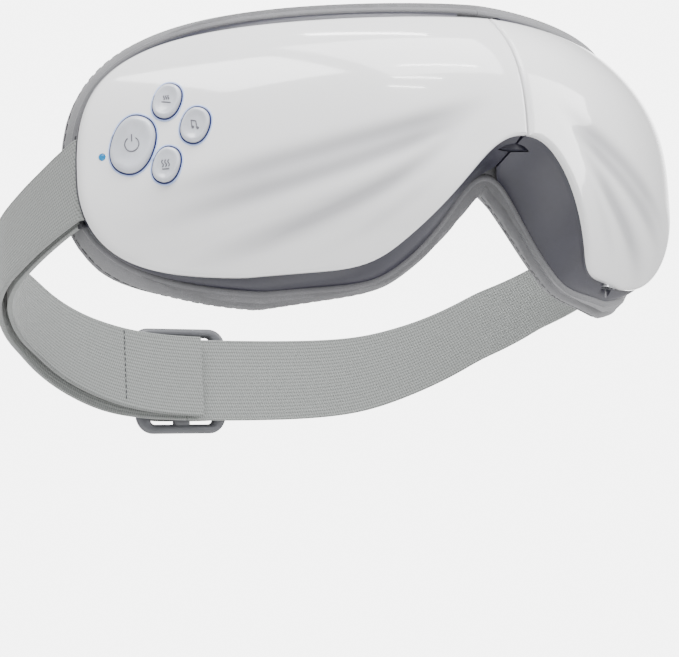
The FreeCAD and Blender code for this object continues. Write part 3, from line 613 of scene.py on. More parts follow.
def shell_rings():
    edge = closed_outline(HALF_WIDTH, TOP_Z, BOTTOM_Z, SHELL_ARCH)
    rings = []
    for turn in np.radians([0, 18, 36, 54, 72, 90]):
        ring = inset(edge, EDGE_RADIUS * (1 - math.cos(turn)))
        depth = EDGE_RADIUS * (1 - math.sin(turn))
        rings.append(lift(ring, surface_y(ring[:, 0], ring[:, 1]) + depth))
    flat = inset(edge, EDGE_RADIUS)

    def outside(x, z):
        return surface_y(x, z) + wave_depth(x, z) * smooth(edge_room(x, z) / 5)

    def inside(x, z):
        return surface_y(x, z) + SHELL_THICKNESS

    outer = patch_rings(flat, outside, PATCH_CENTRE, 62, 0.02)[::-1]
    inner = [lift(edge, surface_y(edge[:, 0], edge[:, 1]) + SHELL_THICKNESS)]
    inner += patch_rings(edge, inside, PATCH_CENTRE, 12, 0.03)
    return outer + rings[::-1] + inner


def edge_room(x, z):
    """Rough distance from the shell's edge under the cheek."""
    return z + BOTTOM_Z * np.clip((np.abs(x) - 12) / 22, 0.05, 1.0)


def button_frame(x, z):
    """Centre, viewer's right, up and outward directions of a place on the control half, at +X."""
    step = 0.01
    slope_x = (surface_y(x + step, z) - surface_y(x - step, z)) / (2 * step)
    slope_z = (surface_y(x, z + step) - surface_y(x, z - step)) / (2 * step)
    inward = np.array([-slope_x, 1.0, -slope_z])
    inward /= np.linalg.norm(inward)
    across = np.array([inward[1], -inward[0], 0.0])
    across /= np.linalg.norm(across)
    up = np.cross(across, inward)
    return np.array([x, surface_y(x, z), z]), across, up, -inward


BUTTON_POWER = 2.25
BUTTON_LEAN = math.radians(22)
BUTTONS = {
    "power_button": (92.2, 7.9, 11.8, 16.0),
    "pressure_button": (84.5, 19.1, 7.3, 9.8),
    "music_button": (79.2, 11.8, 7.5, 9.8),
    "heat_button": (85.5, 1.6, 7.2, 9.8),
}


def leaning_oval(width, height, margin, count=64):
    """Outline of a button in its own plane."""
    t = np.linspace(0, 2 * math.pi, count, endpoint=False)
    c, s = np.cos(t), np.sin(t)
    across = (width / 2 + margin) * np.abs(c) ** (2 / BUTTON_POWER) * np.sign(c)
    up = (height / 2 + margin) * np.abs(s) ** (2 / BUTTON_POWER) * np.sign(s)
    x = across * math.cos(BUTTON_LEAN) - up * math.sin(BUTTON_LEAN)
    z = across * math.sin(BUTTON_LEAN) + up * math.cos(BUTTON_LEAN)
    return np.stack([x, z], 1)


def on_shell(place, flat_points, height):
    """Points of a button's plane set on the control half at -X."""
    centre, across, up, outward = button_frame(*place)
    flat_points = np.atleast_2d(flat_points)
    height = np.broadcast_to(height, len(flat_points))
    points = (centre + flat_points[:, :1] * across + flat_points[:, 1:] * up
              + height[:, None] * outward)
    return mirror_x(points, -1)


def hole_tool(name, place, outline_points):
    rings = [on_shell(place, outline_points, h) for h in (-4.5, 3.0)]
    points, faces = skin(rings)
    return new_piece(name, points, faces, M["shell_white"])


LIGHT_PLACE = (98.6, 5.3)
LIGHT_RADIUS = 0.9


def circle(radius, count=32):
    t = np.linspace(0, 2 * math.pi, count, endpoint=False)
    return np.stack([radius * np.cos(t), radius * np.sin(t)], 1)


def paint_shade_in_grooves(shell):
    """How deep each point of the outer face lies in a groove, which the material turns into painted shade in the base
    colour.
    """
    places = np.array([v.co for v in shell.data.vertices]) / MM
    x, y, z = np.abs(places[:, 0]), places[:, 1], places[:, 2]
    outside = y < surface_y(x, z) + SHELL_THICKNESS / 2
    values = wave_depth(x, z) * outside
    attribute = shell.data.attributes.new(PAINTED_GROOVE_SHADE, "FLOAT", "POINT")
    attribute.data.foreach_set("value", np.clip(values, 0, 1).astype(np.float32))


def build_shells():
    rings = shell_rings()
    for side, sign in SIDES.items():
        points, faces = skin([mirror_x(ring, sign) for ring in rings])
        shell = new_piece(side + "_shell", points, faces, M["shell_white"])
        if side == "right":
            tools = [hole_tool("hole_" + name, (x, z), leaning_oval(w, h, 0.4))
                     for name, (x, z, w, h) in BUTTONS.items()]
            tools.append(hole_tool("hole_light", LIGHT_PLACE, circle(LIGHT_RADIUS + 0.15)))
            cut(shell, *tools)
        cut(shell, wedge_tool(sign))
        paint_shade_in_grooves(shell)
        shade_by_angle(shell, 40)
        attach(shell, side + "_half")
        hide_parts(side + "_front_shell")


# ---- Buttons and light ----

BUTTON_PROFILE = [(1.0, -2.2), (1.0, 0.3), (0.985, 0.85), (0.95, 1.3), (0.885, 1.56), (0.81, 1.6), (0.73, 1.5),
                  (0.60, 1.26), (0.48, 1.14), (0.3, 1.08), (0.12, 1.06)]
ICON_HEIGHT = 1.12


def power_icon(scale):
    t = np.radians(np.linspace(125, 415, 40))
    ring = np.stack([np.cos(t), np.sin(t)], 1) * 1.9 * scale
    return [ring, resample([(0, 0.7 * scale), (0, 2.6 * scale)], 8)]


def heat_icon(scale):
    t = np.linspace(-1, 1, 16)
    waves = [np.stack([shift + 0.22 * np.sin(t * 3.4), t * 0.95 + 0.3], 1) * scale for shift in (-0.85, 0, 0.85)]
    return waves + [resample([(-1.0 * scale, -1.25 * scale), (1.0 * scale, -1.25 * scale)], 8)]


def pressure_icon(scale):
    t = np.linspace(-1, 1, 16)
    waves = [np.stack([shift + 0.16 * np.sin(t * 3.4), t * 0.55 + 0.75], 1) * scale for shift in (-0.6, 0, 0.6)]
    return waves + [resample([(-1.3 * scale, -0.75 * scale), (1.3 * scale, -0.35 * scale)], 8)]


def music_icon(scale):
    stem_left = resample([(-0.55, -0.9), (-0.4, 0.8)], 8) * scale
    stem_right = resample([(0.65, -0.6), (0.8, 1.1)], 8) * scale
    beam = resample([(-0.4, 0.8), (0.8, 1.1)], 8) * scale
    heads = [circle(0.22, 12) * scale + np.array(c) * scale for c in ((-0.8, -0.95), (0.4, -0.65))]
    return [stem_left, stem_right, beam] + [np.vstack([head, head[:1]]) for head in heads]


ICONS = {
    "power_button": (power_icon, 1.05),
    "pressure_button": (pressure_icon, 1.0),
    "music_button": (music_icon, 1.1),
    "heat_button": (heat_icon, 1.0),
}


def joined(name, groups, material):
    """One mesh from several groups of rings."""
    all_points, all_faces, start = [], [], 0
    for rings in groups:
        points, faces = skin(rings)
        all_points.append(points)
        all_faces += [tuple(i + start for i in face) for face in faces]
        start += len(points)
    return new_piece(name, np.vstack(all_points), all_faces, material)


def ring_tube(place, outline_points, radius, height, flat=1.0):
    """A closed tube along an outline on the shell, as rings that end where they start."""
    loop = np.vstack([outline_points, outline_points[:2]])
    path = on_shell(place, loop, height)
    _, _, _, outward = button_frame(*place)
    return tube(path, radius, 8, flat, mirror_x(outward, -1))


def build_buttons():
    for name, (x, z, width, height) in BUTTONS.items():
        rim = leaning_oval(width, height, 0)
        rings = [on_shell((x, z), rim * share, proud) for share, proud in BUTTON_PROFILE]
        cap = joined(name + "_cap", [rings], M["button_white"])
        shade_by_angle(cap, 50)
        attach(cap, name)
        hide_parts(name)
        icon, scale = ICONS[name]
        # Icon strokes in dark grey stand for the deboss; the grey is painted shade.
        strokes = [tube(on_shell((x, z), line, ICON_HEIGHT), 0.17, 6) for line in icon(scale)]
        mark = joined(name + "_icon", strokes, M["button_icon"])
        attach(mark, name)
        # The halo is a pale blue ring of painted glow round the button; it gives no light.
        halo = joined(name + "_halo", [ring_tube((x, z), leaning_oval(width, height, 0.55), 0.3, -0.12, 0.5)],
                      M["button_halo"])
        ring = joined(name + "_ring", [ring_tube((x, z), leaning_oval(width, height, 0.22), 0.2, 0.05)],
                      M["button_ring"])
        for piece in (halo, ring):
            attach(piece, "right_half")


def build_light():
    profile = [(1.0, -4.0), (1.0, 0.05), (0.85, 0.25), (0.5, 0.4), (0.15, 0.45)]
    rings = [on_shell(LIGHT_PLACE, circle(LIGHT_RADIUS) * share, proud) for share, proud in profile]
    lens = joined("status_lens", [rings], M["status_light"])
    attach(lens, "right_half")
    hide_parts("status_light")


# ---- Housings ----

WELT_SIZE = (98.4, 44.6, 34.7)
FOLD_GAP = 0.4
HOUSING_STEPS = 16


def cylinder_tool(radius, low, high):
    ring = circle(radius, 64)
    rings = [np.stack([ring[:, 0], ring[:, 1] + HINGE_Y, np.full(64, z)], 1) for z in (low, high)]
    points, faces = skin(rings)
    return new_piece("column_tool", points, faces, M["housing_grey"])


def wedge_tool(sign):
    """The space behind the pin that one folding half leaves free."""
    reach = 60.0
    far = FOLD_GAP + reach * math.tan(math.radians(FOLD_LIMIT))
    plan = [(-5, HINGE_Y), (FOLD_GAP, HINGE_Y), (far, HINGE_Y + reach), (-5, HINGE_Y + reach)]
    rings = [np.array([(x * sign, y, z) for x, y in plan]) for z in (-70.0, 70.0)]
    points, faces = skin(rings)
    return new_piece("wedge_tool", points, faces, M["housing_grey"])


def housing_rings():
    shell = closed_outline(HALF_WIDTH, TOP_Z, BOTTOM_Z, SHELL_ARCH)
    welt = inset(closed_outline(*WELT_SIZE, WELT_ARCH, cheek=SOFT_CHEEK), 0.5)
    front_loop = inset(shell, 1.5)

    def front(x, z):
        return surface_y(x, z) + SHELL_THICKNESS + 0.05

    def back(x, z):
        return joint_y(x) - 0.4

    start = lift(front_loop, front(front_loop[:, 0], front_loop[:, 1]))
    shoulder = inset(shell, 0.25)
    shoulder = lift(shoulder, surface_y(shoulder[:, 0], shoulder[:, 1]) + SHELL_THICKNESS + 1.3)
    end = lift(welt, back(welt[:, 0], welt[:, 1]))
    rings = patch_rings(front_loop, front, PATCH_CENTRE, 10, 0.1)[::-1] + [start]
    for t in (0.45, 0.75):
        rings.append(start + (shoulder - start) * np.array([math.sin(t * math.pi / 2), 1 - math.cos(t * math.pi / 2),
                                                            math.sin(t * math.pi / 2)]))
    outward = -(inset(shell, 1.0) - shell)
    for t in np.linspace(0, 1, HOUSING_STEPS):
        ring = shoulder + (end - shoulder) * t
        swell = 0.9 * math.sin(math.pi * t) * (1 - t * 0.4)
        ring[:, 0] += outward[:, 0] * swell
        ring[:, 2] += outward[:, 1] * swell
        ring[:, 0] = np.maximum(ring[:, 0], SEAM_X)
        rings.append(ring)
    rings += patch_rings(welt, back, PATCH_CENTRE, 8, 0.05)
    return rings


SOCKET_SIZE = (9.0, 3.2)
SOCKET_RIM_Z = -29.3
SOCKET_DEPTH = 5.0


def socket_loop(width, thickness, radius, z):
    """Rounded outline of the charging inlet at one height, level with the shell's sweep."""
    low, high = (np.array(corner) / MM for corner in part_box("charging_socket"))
    centre = (low + high) / 2
    slope = (sweep(centre[0] + 1) - sweep(centre[0] - 1)) / 2
    along = np.array([1.0, slope]) / math.hypot(1, slope)
    across = np.array([-along[1], along[0]])
    flat = rounded_rectangle(width, thickness, radius, 6)
    plan = centre[:2] + flat[:, :1] * along + flat[:, 1:] * across
    return np.column_stack([plan, np.full(len(plan), z)])


def build_socket():
    """Metal rim of the inlet with its tongue, set back in the tray's underside."""
    width, thickness = SOCKET_SIZE
    inner = (width - 0.7, thickness - 0.7, 1.2)
    floor_z = SOCKET_RIM_Z + SOCKET_DEPTH
    rim = [socket_loop(width, thickness, 1.5, floor_z), socket_loop(width, thickness, 1.5, SOCKET_RIM_Z),
           socket_loop(*inner, SOCKET_RIM_Z), socket_loop(*inner, floor_z - 0.5)]
    tongue = [socket_loop(width - 3.4, 0.8, 0.3, z) for z in (floor_z - 0.4, SOCKET_RIM_Z + 1.0)]
    socket = joined("charging_inlet", [rim, tongue], M["steel"])
    shade_by_angle(socket, 40)
    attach(socket, "left_half")
    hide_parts("charging_socket")


def socket_tool():
    width, thickness = SOCKET_SIZE
    rings = [socket_loop(width + 0.3, thickness + 0.3, 1.6, z) for z in (SOCKET_RIM_Z + SOCKET_DEPTH + 0.2, -45.0)]
    points, faces = skin(rings)
    return new_piece("socket_tool", points, faces, M["housing_grey"])


def build_housings():
    rings = housing_rings()
    for side, sign in SIDES.items():
        points, faces = skin([mirror_x(ring, sign) for ring in rings])
        housing = new_piece(side + "_tray", points, faces, M["housing_grey"])
        cut(housing, wedge_tool(sign), cylinder_tool(8.4, 5.6, 80), cylinder_tool(10.4, 2.8, 6.9))
        if side == "left":
            cut(housing, socket_tool())
        shade_by_angle(housing, 32)
        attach(housing, side + "_half")
        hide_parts(side + "_housing")


# ---- Cushion ----

LOW_DEPTH = 7.1


def stations(size, arch, cheek=SOFT_CHEEK):
    line = outline(*size, arch, cheek)
    line[0, 0] = 0.0
    line[-1, 0] = 0.0
    return line


def cushion_loops():
    outer = stations((98.6, 48.2, 39.0), CUSHION_ARCH)
    welt = stations(WELT_SIZE, WELT_ARCH)
    inner = stations((82.0, 37.0, 26.0), INNER_ARCH, SHELL_CHEEK)
    return welt, outer, inner


def station_heights(outer):
    """Depth of the cushion behind the joint at each station: low round the nose and cheek, full elsewhere."""
    full = rear_y(outer[:, 0]) - joint_y(outer[:, 0])
    index = np.arange(len(outer))
    corner = ARCH_STEPS + UNDER_STEPS - 2
    rise = smooth((outer[:, 0] - 74) / 17) * (index > ARCH_STEPS)
    rise[index >= corner] = 1.0
    return LOW_DEPTH + (full - LOW_DEPTH) * rise, rise


# Places in the section's list of the piping side, the outer seam and the crease beside the rolled border.
SIDE_LINE, OUTER_SEAM, INNER_SEAM = 3, 5, 12


def section(depth, rise):
    """Shares across (0 outer, 1 inner) and depths of one section: side, rolled border, crease, flat, shelf."""
    scale = 0.32 + 0.68 * rise
    return [
        (-0.10, 0.5), (-0.03, 2.2), (0.0, depth * 0.3 + 0.5), (0.005, depth * 0.52), (0.03, depth - 8.0 * scale),
        (0.06 + 0.03 * rise, depth - 6.6 * scale), (0.04, depth - 5.2 * scale), (0.08, depth - 2.6 * scale),
        (0.16, depth - 0.7 * scale), (0.27, depth), (0.38, depth - 0.5 * scale), (0.46, depth - 2.0 * scale),
        (0.50, depth - 4.4 * scale), (0.54, depth - 3.9 * scale), (0.62, depth - 3.2 * scale),
        (0.76, depth - 3.6 * scale), (0.90, depth - 5.4 * scale), (0.97, 6.6 + 2.2 * rise), (1.06, 6.2),
        (1.45, 5.4), (1.5, 3.0), (1.4, 0.9), (0.6, 0.2), (0.1, 0.1),
    ]


def round_loop(points, count):
    """A closed Catmull-Rom curve through points, evenly sampled."""
    p = np.asarray(points, float)
    pieces = []
    for i in range(len(p)):
        a, b, c, d = p[i - 1], p[i], p[(i + 1) % len(p)], p[(i + 2) % len(p)]
        t = np.linspace(0, 1, 8, endpoint=False)[:, None]
        pieces.append(0.5 * (2 * b + (c - a) * t + (2 * a - 5 * b + 4 * c - d) * t ** 2
                             + (3 * b - a - 3 * c + d) * t ** 3))
    line = np.vstack(pieces + [pieces[0][:1]])
    return resample(line, count + 1)[:-1]


SECTION_POINTS = 72


def cushion_rings():
    """Rings of the cushion from the middle of the nose round to the middle of the brow, with its seam lines."""
    welt, outer, inner = cushion_loops()
    depths, rises = station_heights(outer)
    travel = np.concatenate([[0], np.cumsum(np.linalg.norm(np.diff(outer, axis=0), axis=1))])
    rings, seams = [], {SIDE_LINE: [], OUTER_SEAM: [], INNER_SEAM: []}
    for i in range(len(outer)):
        guides = []
        for share, depth in section(depths[i], rises[i]):
            if share < 0:
                flat = outer[i] + (welt[i] - outer[i]) * (-share / 0.10)
            else:
                flat = outer[i] + (inner[i] - outer[i]) * share
            x = max(flat[0], 0.0)
            guides.append((x, joint_y(x) + depth, flat[1]))
        guides = np.array(guides)
        ring = round_loop(guides, SECTION_POINTS)
        for seam, size in ((OUTER_SEAM, 0.3), (INNER_SEAM, 0.5)):
            ring = pucker(ring, guides[seam], travel[i], rises[i] * size)
        rings.append(ring)
        for place, line in seams.items():
            line.append(guides[place])
    for end in (rings[0], rings[-1]):
        end[:, 0] = 0.0
    return rings, {place: np.array(line) for place, line in seams.items()}


def pucker(ring, seam, travel, size):
    """Small gathers beside a seam."""
    near = np.exp(-(np.linalg.norm(ring - seam, axis=1) / 3.4) ** 2) - np.exp(
        -(np.linalg.norm(ring - seam, axis=1) / 0.9) ** 2)
    wave = np.sin(2 * math.pi * travel / 5.1 + 1.7 * np.sin(travel * 0.11)) * 0.6
    wave += np.sin(2 * math.pi * travel / 11.7 + 2.0) * 0.4
    out = ring.copy()
    out[:, 1] += near * wave * size
    return out


def blend_half(piece):
    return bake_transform(piece)


def stitches(name, line, length, gap, radius, material):
    """Short thread dashes along a line."""
    steps = np.linalg.norm(np.diff(line, axis=0), axis=1)
    run = np.concatenate([[0], np.cumsum(steps)])
    groups = []
    place = gap
    while place + length < run[-1] - gap:
        at = np.linspace(place, place + length, 4)
        dash = np.stack([np.interp(at, run, line[:, k]) for k in range(3)], 1)
        groups.append(tube(dash, radius, 5))
        place += length + gap
    return joined(name, groups, material)


def build_cushions():
    rings, seams = cushion_rings()
    welt = stations(WELT_SIZE, WELT_ARCH)
    piping = np.stack([welt[:, 0], joint_y(welt[:, 0]) + 0.9, welt[:, 1]], 1)
    for side, sign in SIDES.items():
        points, faces = skin([mirror_x(ring, sign) for ring in rings])
        cushion = new_piece(side + "_cushion_ring", points, faces, M["cushion_leather"])
        shade_by_angle(cushion, 62)
        blend_half(cushion)
        nodes = [side + "_cushion"] + (["bridge_cushion"] if side == "left" else [])
        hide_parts(*nodes)
        extras = [joined(side + "_piping", [tube(mirror_x(piping, sign), 1.35, 12)], M["piping_leather"])]
        for name, place, radius in (("side", SIDE_LINE, 0.14), ("outer_seam", OUTER_SEAM, 0.22),
                                    ("inner_seam", INNER_SEAM, 0.28)):
            line = mirror_x(seams[place], sign)
            extras.append(stitches(side + "_stitch_" + name, line, 2.0, 1.1, radius, M["thread_grey"]))
        for piece in extras:
            shade_by_angle(piece, 62)
            blend_half(piece)


# ---- Face pad ----

PAD_SIZE = (74.5, 33.0, 31.2)
BINDING_HALF = 3.1
PAD_CENTRE = (44, 0)
PAD_FRONT = 7.2
PAD_BACK = 10.4


def pad_loop():
    loop = closed_outline(*PAD_SIZE, PAD_ARCH, 0.0)
    over = loop[:, 1] > 0
    loop[:, 1] -= 3.4 * np.exp(-(loop[:, 0] / 17) ** 2) * over * smooth(loop[:, 1] / 25)
    return loop


def build_face_pads():
    loop = pad_loop()
    border = loop[:ARCH_STEPS + UNDER_STEPS + UPPER_STEPS - 2]
    shares = [0.0, 0.015, 0.03, 0.045, 0.06, 0.08, 0.11, 0.15, 0.2, 0.27, 0.35, 0.45, 0.56, 0.68, 0.8, 0.9, 0.97]
    for side, sign in SIDES.items():
        back, front = [], []
        for share in shares:
            ring = towards(loop, PAD_CENTRE, share)
            ring[:, 0] = np.where(loop[:, 0] < 0.01, 0.0, ring[:, 0]) if share < 0.9 else ring[:, 0]
            x = ring[:, 0]
            distance = share
            valley = 0.5 * math.exp(-((distance - 0.075) / 0.03) ** 2)
            puff = 1.5 * float(smooth((distance - 0.02) / 0.2)) - valley
            cloth = 0.25 * np.sin(ring[:, 0] * 0.23 + ring[:, 1] * 0.11) * float(smooth(distance / 0.3))
            back.append(lift(ring, joint_y(x) + PAD_BACK - 1.7 + puff + cloth))
            front.append(lift(ring, joint_y(x) + PAD_FRONT))
        points, faces = skin([mirror_x(ring, sign) for ring in back[::-1] + front])
        pad = new_piece(side + "_pad_sheet", points, faces, M["face_cloth"])
        plane_uv(pad)
        shade_by_angle(pad, 62)
        blend_half(pad)
        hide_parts(*([side + "_face_pad"] + (["bridge_face_pad"] if side == "left" else [])))
        edge = np.stack([border[:, 0], joint_y(border[:, 0]) + PAD_BACK - 1.4, border[:, 1]], 1)
        binding = joined(side + "_pad_binding", [tube(mirror_x(edge, sign), BINDING_HALF, 14, 0.42)], M["pad_binding"])
        seam = towards(border, PAD_CENTRE, 0.075)
        seam_line = np.stack([seam[:, 0], joint_y(seam[:, 0]) + PAD_BACK - 1.55, seam[:, 1]], 1)
        thread = stitches(side + "_pad_stitch", mirror_x(seam_line, sign), 1.8, 1.0, 0.22, M["thread_navy"])
        for piece in (binding, thread):
            shade_by_angle(piece, 62)
            blend_half(piece)


# ---- Head strap ----

STRAP_HALF_WIDTH = 105.5
STRAP_BACK_Y = 129.6
STRAP_WIDEST_Y = 62.0
STRAP_POWER = 2.25
STRAP_BAR = (101.9, 26.5)
# Side view of the strap: y, middle z and half height.
STRAP_SIDE = np.array([(16.5, 2.5, 11.3), (26.5, 0.3, 11.2), (43, -5.0, 10.7), (67, -11.9, 10.5), (89, -18.7, 10.9),
                       (106, -27.2, 11.7), (117.4, -36.7, 12.2), (125, -42.9, 13.0), (129.6, -44.3, 13.5),
                       (137.6, -44.3, 13.5)])
STRAP_THICKNESS = 1.6
LAYER_PITCH = 3.2
SPLIT_X = 18.0
SECOND_LAYER_X = 13.0
SEWN_LOOP = 12.0
WEAVE_HALF = 13.5
SEAM_AT_X = 43.0


def strap_plan():
    """Fine plan line of the strap's middle from X = 0 behind the head to the bar at the temple."""
    turn = np.radians(np.linspace(0, 90, 900))
    x = STRAP_HALF_WIDTH * np.sin(turn) ** (2 / STRAP_POWER)
    y = STRAP_WIDEST_Y + (STRAP_BACK_Y - STRAP_WIDEST_Y) * np.abs(np.cos(turn)) ** (2 / STRAP_POWER)
    side_y = np.linspace(STRAP_WIDEST_Y, STRAP_BAR[1], 200)[1:]
    share = (STRAP_WIDEST_Y - side_y) / (STRAP_WIDEST_Y - STRAP_BAR[1])
    side_x = STRAP_HALF_WIDTH - (STRAP_HALF_WIDTH - STRAP_BAR[0]) * share ** 2.3
    return resample(np.vstack([np.stack([x, y], 1), np.stack([side_x, side_y], 1)]), 1200)


def side_curve(y, column):
    """A column of the side view, as a smooth curve over Y."""
    grid = np.linspace(16.5, 137.6, 240)
    raw = np.interp(grid, STRAP_SIDE[:, 0], STRAP_SIDE[:, column])
    soft = np.convolve(np.pad(raw, 8, mode="edge"), np.hanning(19)[1:-1] / np.hanning(19).sum(), mode="valid")
    return np.interp(y, grid, soft)


def strap_z(y):
    return side_curve(y, 1)


def strap_half(y):
    return side_curve(y, 2)


def layer_line(first_x, last_y, shift):
    """Middle line of one layer between an X behind the head and a Y at the side, moved in by `shift`."""
    plan = strap_plan()
    along = np.gradient(plan, axis=0)
    along /= np.linalg.norm(along, axis=1)[:, None]
    inward = np.stack([along[:, 1], -along[:, 0]], 1)
    moved = plan + inward * shift
    keep = (moved[:, 0] >= first_x - 1e-6) & (moved[:, 1] >= last_y - 1e-6)
    return moved[keep]


def band(line):
    """Rings of a strap round a plan line, with its run for the weave."""
    steps = np.linalg.norm(np.diff(line, axis=0), axis=1)
    run = np.concatenate([[0], np.cumsum(steps)])
    out = plan_normals(line)
    half = STRAP_THICKNESS / 2
    sides = [(-1, -0.62), (-0.985, -0.9), (-0.96, -1.0), (-0.935, -0.86), (-0.9, -0.9)]
    profile = sides + [(s, -0.9) for s in np.linspace(-0.8, 0.8, 15)] + [(-s, d) for s, d in sides[::-1]]
    profile += [(s, -d) for s, d in profile[::-1]]
    shares = np.array(profile)
    rings = []
    for (x, y), normal in zip(line, out):
        offset = shares[:, 1] * half
        rings.append(np.stack([x + normal[0] * offset, y + normal[1] * offset,
                               strap_z(y) + shares[:, 0] * strap_half(y)], 1))
    return rings, run


def strap_piece(name, line, sign):
    rings, run = band(line)
    points, faces = skin([mirror_x(ring, sign) for ring in rings])
    piece = new_piece(name, points, faces, M["strap_webbing"])
    weave_uv(piece, line, run, sign)
    return piece


def weave_uv(piece, line, run, sign):
    """UV in metres: run along the strap, and height across it gathered to the full width."""
    path = np.array(line)
    layer = piece.data.uv_layers.new(name="UVMap")
    places = np.array([v.co for v in piece.data.vertices]) / MM
    places[:, 0] *= sign
    lengths = np.empty(len(places))
    for start in range(0, len(places), 2000):
        chunk = places[start:start + 2000, :2]
        gaps = ((chunk[:, None, :] - path[None, :, :]) ** 2).sum(2)
        lengths[start:start + 2000] = run[gaps.argmin(1)]
    heights = (places[:, 2] - strap_z(places[:, 1])) / strap_half(places[:, 1]) * WEAVE_HALF
    values = np.stack([lengths, heights], 1) * MM
    for loop in piece.data.loops:
        layer.data[loop.index].uv = values[loop.vertex_index]


def turn_line(count=14):
    """The strap's turn round the temple bar, from the outer layer's end to the inner layer's end."""
    outer = layer_line(90, STRAP_BAR[1], 0)[-1]
    inner = layer_line(90, STRAP_BAR[1], LAYER_PITCH)[-1]
    middle = (outer + inner) / 2
    arm = outer - middle
    t = np.linspace(0, math.pi, count)[1:-1]
    side = np.array([arm[1], -arm[0]])
    if side[1] > 0:
        side = -side
    return middle + np.cos(t)[:, None] * arm + np.sin(t)[:, None] * side


def spaced(path):
    """The path without points that sit on the one before."""
    steps = np.linalg.norm(np.diff(path, axis=0), axis=1)
    return path[np.concatenate([[True], steps > 0.02])]


def build_strap():
    for side, sign in SIDES.items():
        outer = layer_line(0, STRAP_BAR[1], 0)
        inner = layer_line(0, STRAP_BAR[1], LAYER_PITCH)
        if side == "left":
            inner = inner[inner[:, 1] < STRAP_BAR[1] + SEWN_LOOP]
            across = outer[(outer[:, 0] <= SPLIT_X) & (outer[:, 0] > 0)][::-1]
            outer = np.vstack([mirror_x(across, -1), outer])
        else:
            inner = inner[inner[:, 0] >= SECOND_LAYER_X]
            outer = outer[outer[:, 0] >= SPLIT_X]
        path = spaced(np.vstack([outer[::4], outer[-1:], turn_line(), inner[::-1][::4], inner[:1]]))
        piece = strap_piece(side + "_strap", path, sign)
        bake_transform(piece)
        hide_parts(*([side + "_strap_end", side + "_strap_span"] + (["strap_back"] if side == "left" else [])))
    inner = layer_line(0, 60, LAYER_PITCH + STRAP_THICKNESS / 2 + 0.05)
    seam_x, seam_y = inner[np.argmin(np.abs(inner[:, 0] - SEAM_AT_X))]
    high = float(strap_half(seam_y)) - 1.2
    rows = np.linspace(-high, high, 14) + float(strap_z(seam_y))
    dashes = [tube([(-seam_x, seam_y, low + 0.35), (-seam_x, seam_y, low + 1.45)], 0.16, 5, up=(1.0, 0.0, 0.0))
              for low in rows[:-1]]
    thread = joined("strap_seam_thread", dashes, M["thread_grey"])
    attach(thread, "root")


def build_anchors():
    """Bar at the temple with a short ear at each end, set in the tray."""
    bar = (layer_line(90, STRAP_BAR[1], 0)[-1] + layer_line(90, STRAP_BAR[1], LAYER_PITCH)[-1]) / 2
    middle_z = float(strap_z(bar[1]))
    for side, sign in SIDES.items():
        groups = [tube([(bar[0], bar[1], middle_z - 12.6), (bar[0], bar[1], middle_z + 12.6)], 0.75, 16,
                       up=(1.0, 0.0, 0.0))]
        for end in (-12.3, 12.3):
            ear = rounded_rectangle(2.6, 1.3, 0.5, 5)
            groups.append([np.stack([np.full(len(ear), x), ear[:, 0] + bar[1], ear[:, 1] + middle_z + end], 1)
                           for x in (bar[0] - 8.0, bar[0] + 0.8)])
        anchor = joined(side + "_anchor", [[mirror_x(ring, sign) for ring in group] for group in groups],
                        M["inner_plastic"])
        shade_by_angle(anchor, 40)
        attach(anchor, side + "_half")
        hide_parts(side + "_strap_anchor")


# ---- Buckle ----

BUCKLE_X = -18.0
BUCKLE_SIZE = (34.0, 35.0)
BUCKLE_LOW_Y = STRAP_BACK_Y + STRAP_THICKNESS / 2 + 0.4
BUCKLE_THICKNESS = 3.0


def rounded_rectangle(width, height, radius, count=10, taper=0.0):
    """Closed outline; taper widens the upper half."""
    points = []
    for cx, cy, start in ((1, 1, 0), (-1, 1, 90), (-1, -1, 180), (1, -1, 270)):
        centre = np.array([cx * (width / 2 - radius), cy * (height / 2 - radius)])
        for angle in np.radians(np.linspace(start, start + 90, count)):
            points.append(centre + radius * np.array([math.cos(angle), math.sin(angle)]))
    points = np.array(points)
    points[:, 0] *= 1 + taper * points[:, 1] / height
    return points


def frame_section(outer, inner, y_low, y_high, z_middle, bevel):
    """Closed rings (outer side, top, inner side, bottom) of a frame between two outlines."""
    o_in = outer * (1 - bevel / np.abs(outer).max())
    i_out = inner * (1 + bevel / np.abs(inner).max())
    order = [(outer, y_low + bevel), (outer, y_high - bevel), (o_in, y_high), (i_out, y_high),
             (inner, y_high - bevel), (inner, y_low + bevel), (i_out, y_low), (o_in, y_low)]
    return [np.stack([loop[:, 0], np.full(len(loop), y), loop[:, 1] + z_middle], 1) for loop, y in order]


def build_buckle():
    middle_z = float(strap_z(STRAP_BACK_Y))
    outer = rounded_rectangle(*BUCKLE_SIZE, 6.0, taper=0.06)
    inner = rounded_rectangle(23.4, 28.8, 1.8, taper=0.03)
    rings = frame_section(outer, inner, BUCKLE_LOW_Y, BUCKLE_LOW_Y + BUCKLE_THICKNESS, middle_z, 0.9)
    rings.append(rings[0])
    points_a, faces_a = skin([ring + (BUCKLE_X, 0, 0) for ring in rings], close_ends=False)
    points_b, faces_b = skin([ring + (BUCKLE_X, 0, 0) for ring in bar_rings(middle_z)])
    start = len(points_a)
    faces = faces_a + [tuple(i + start for i in face) for face in faces_b]
    buckle = new_piece("buckle_slider", np.vstack([points_a, points_b]), faces, M["buckle_plastic"])
    soften = buckle.modifiers.new("soften", "BEVEL")
    soften.width = 0.0006
    soften.segments = 2
    soften.limit_method = "ANGLE"
    apply_modifiers(buckle)
    shade_by_angle(buckle, 50)
    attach(buckle, "buckle")
    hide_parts("buckle_frame")
    build_buckle_strap(middle_z)


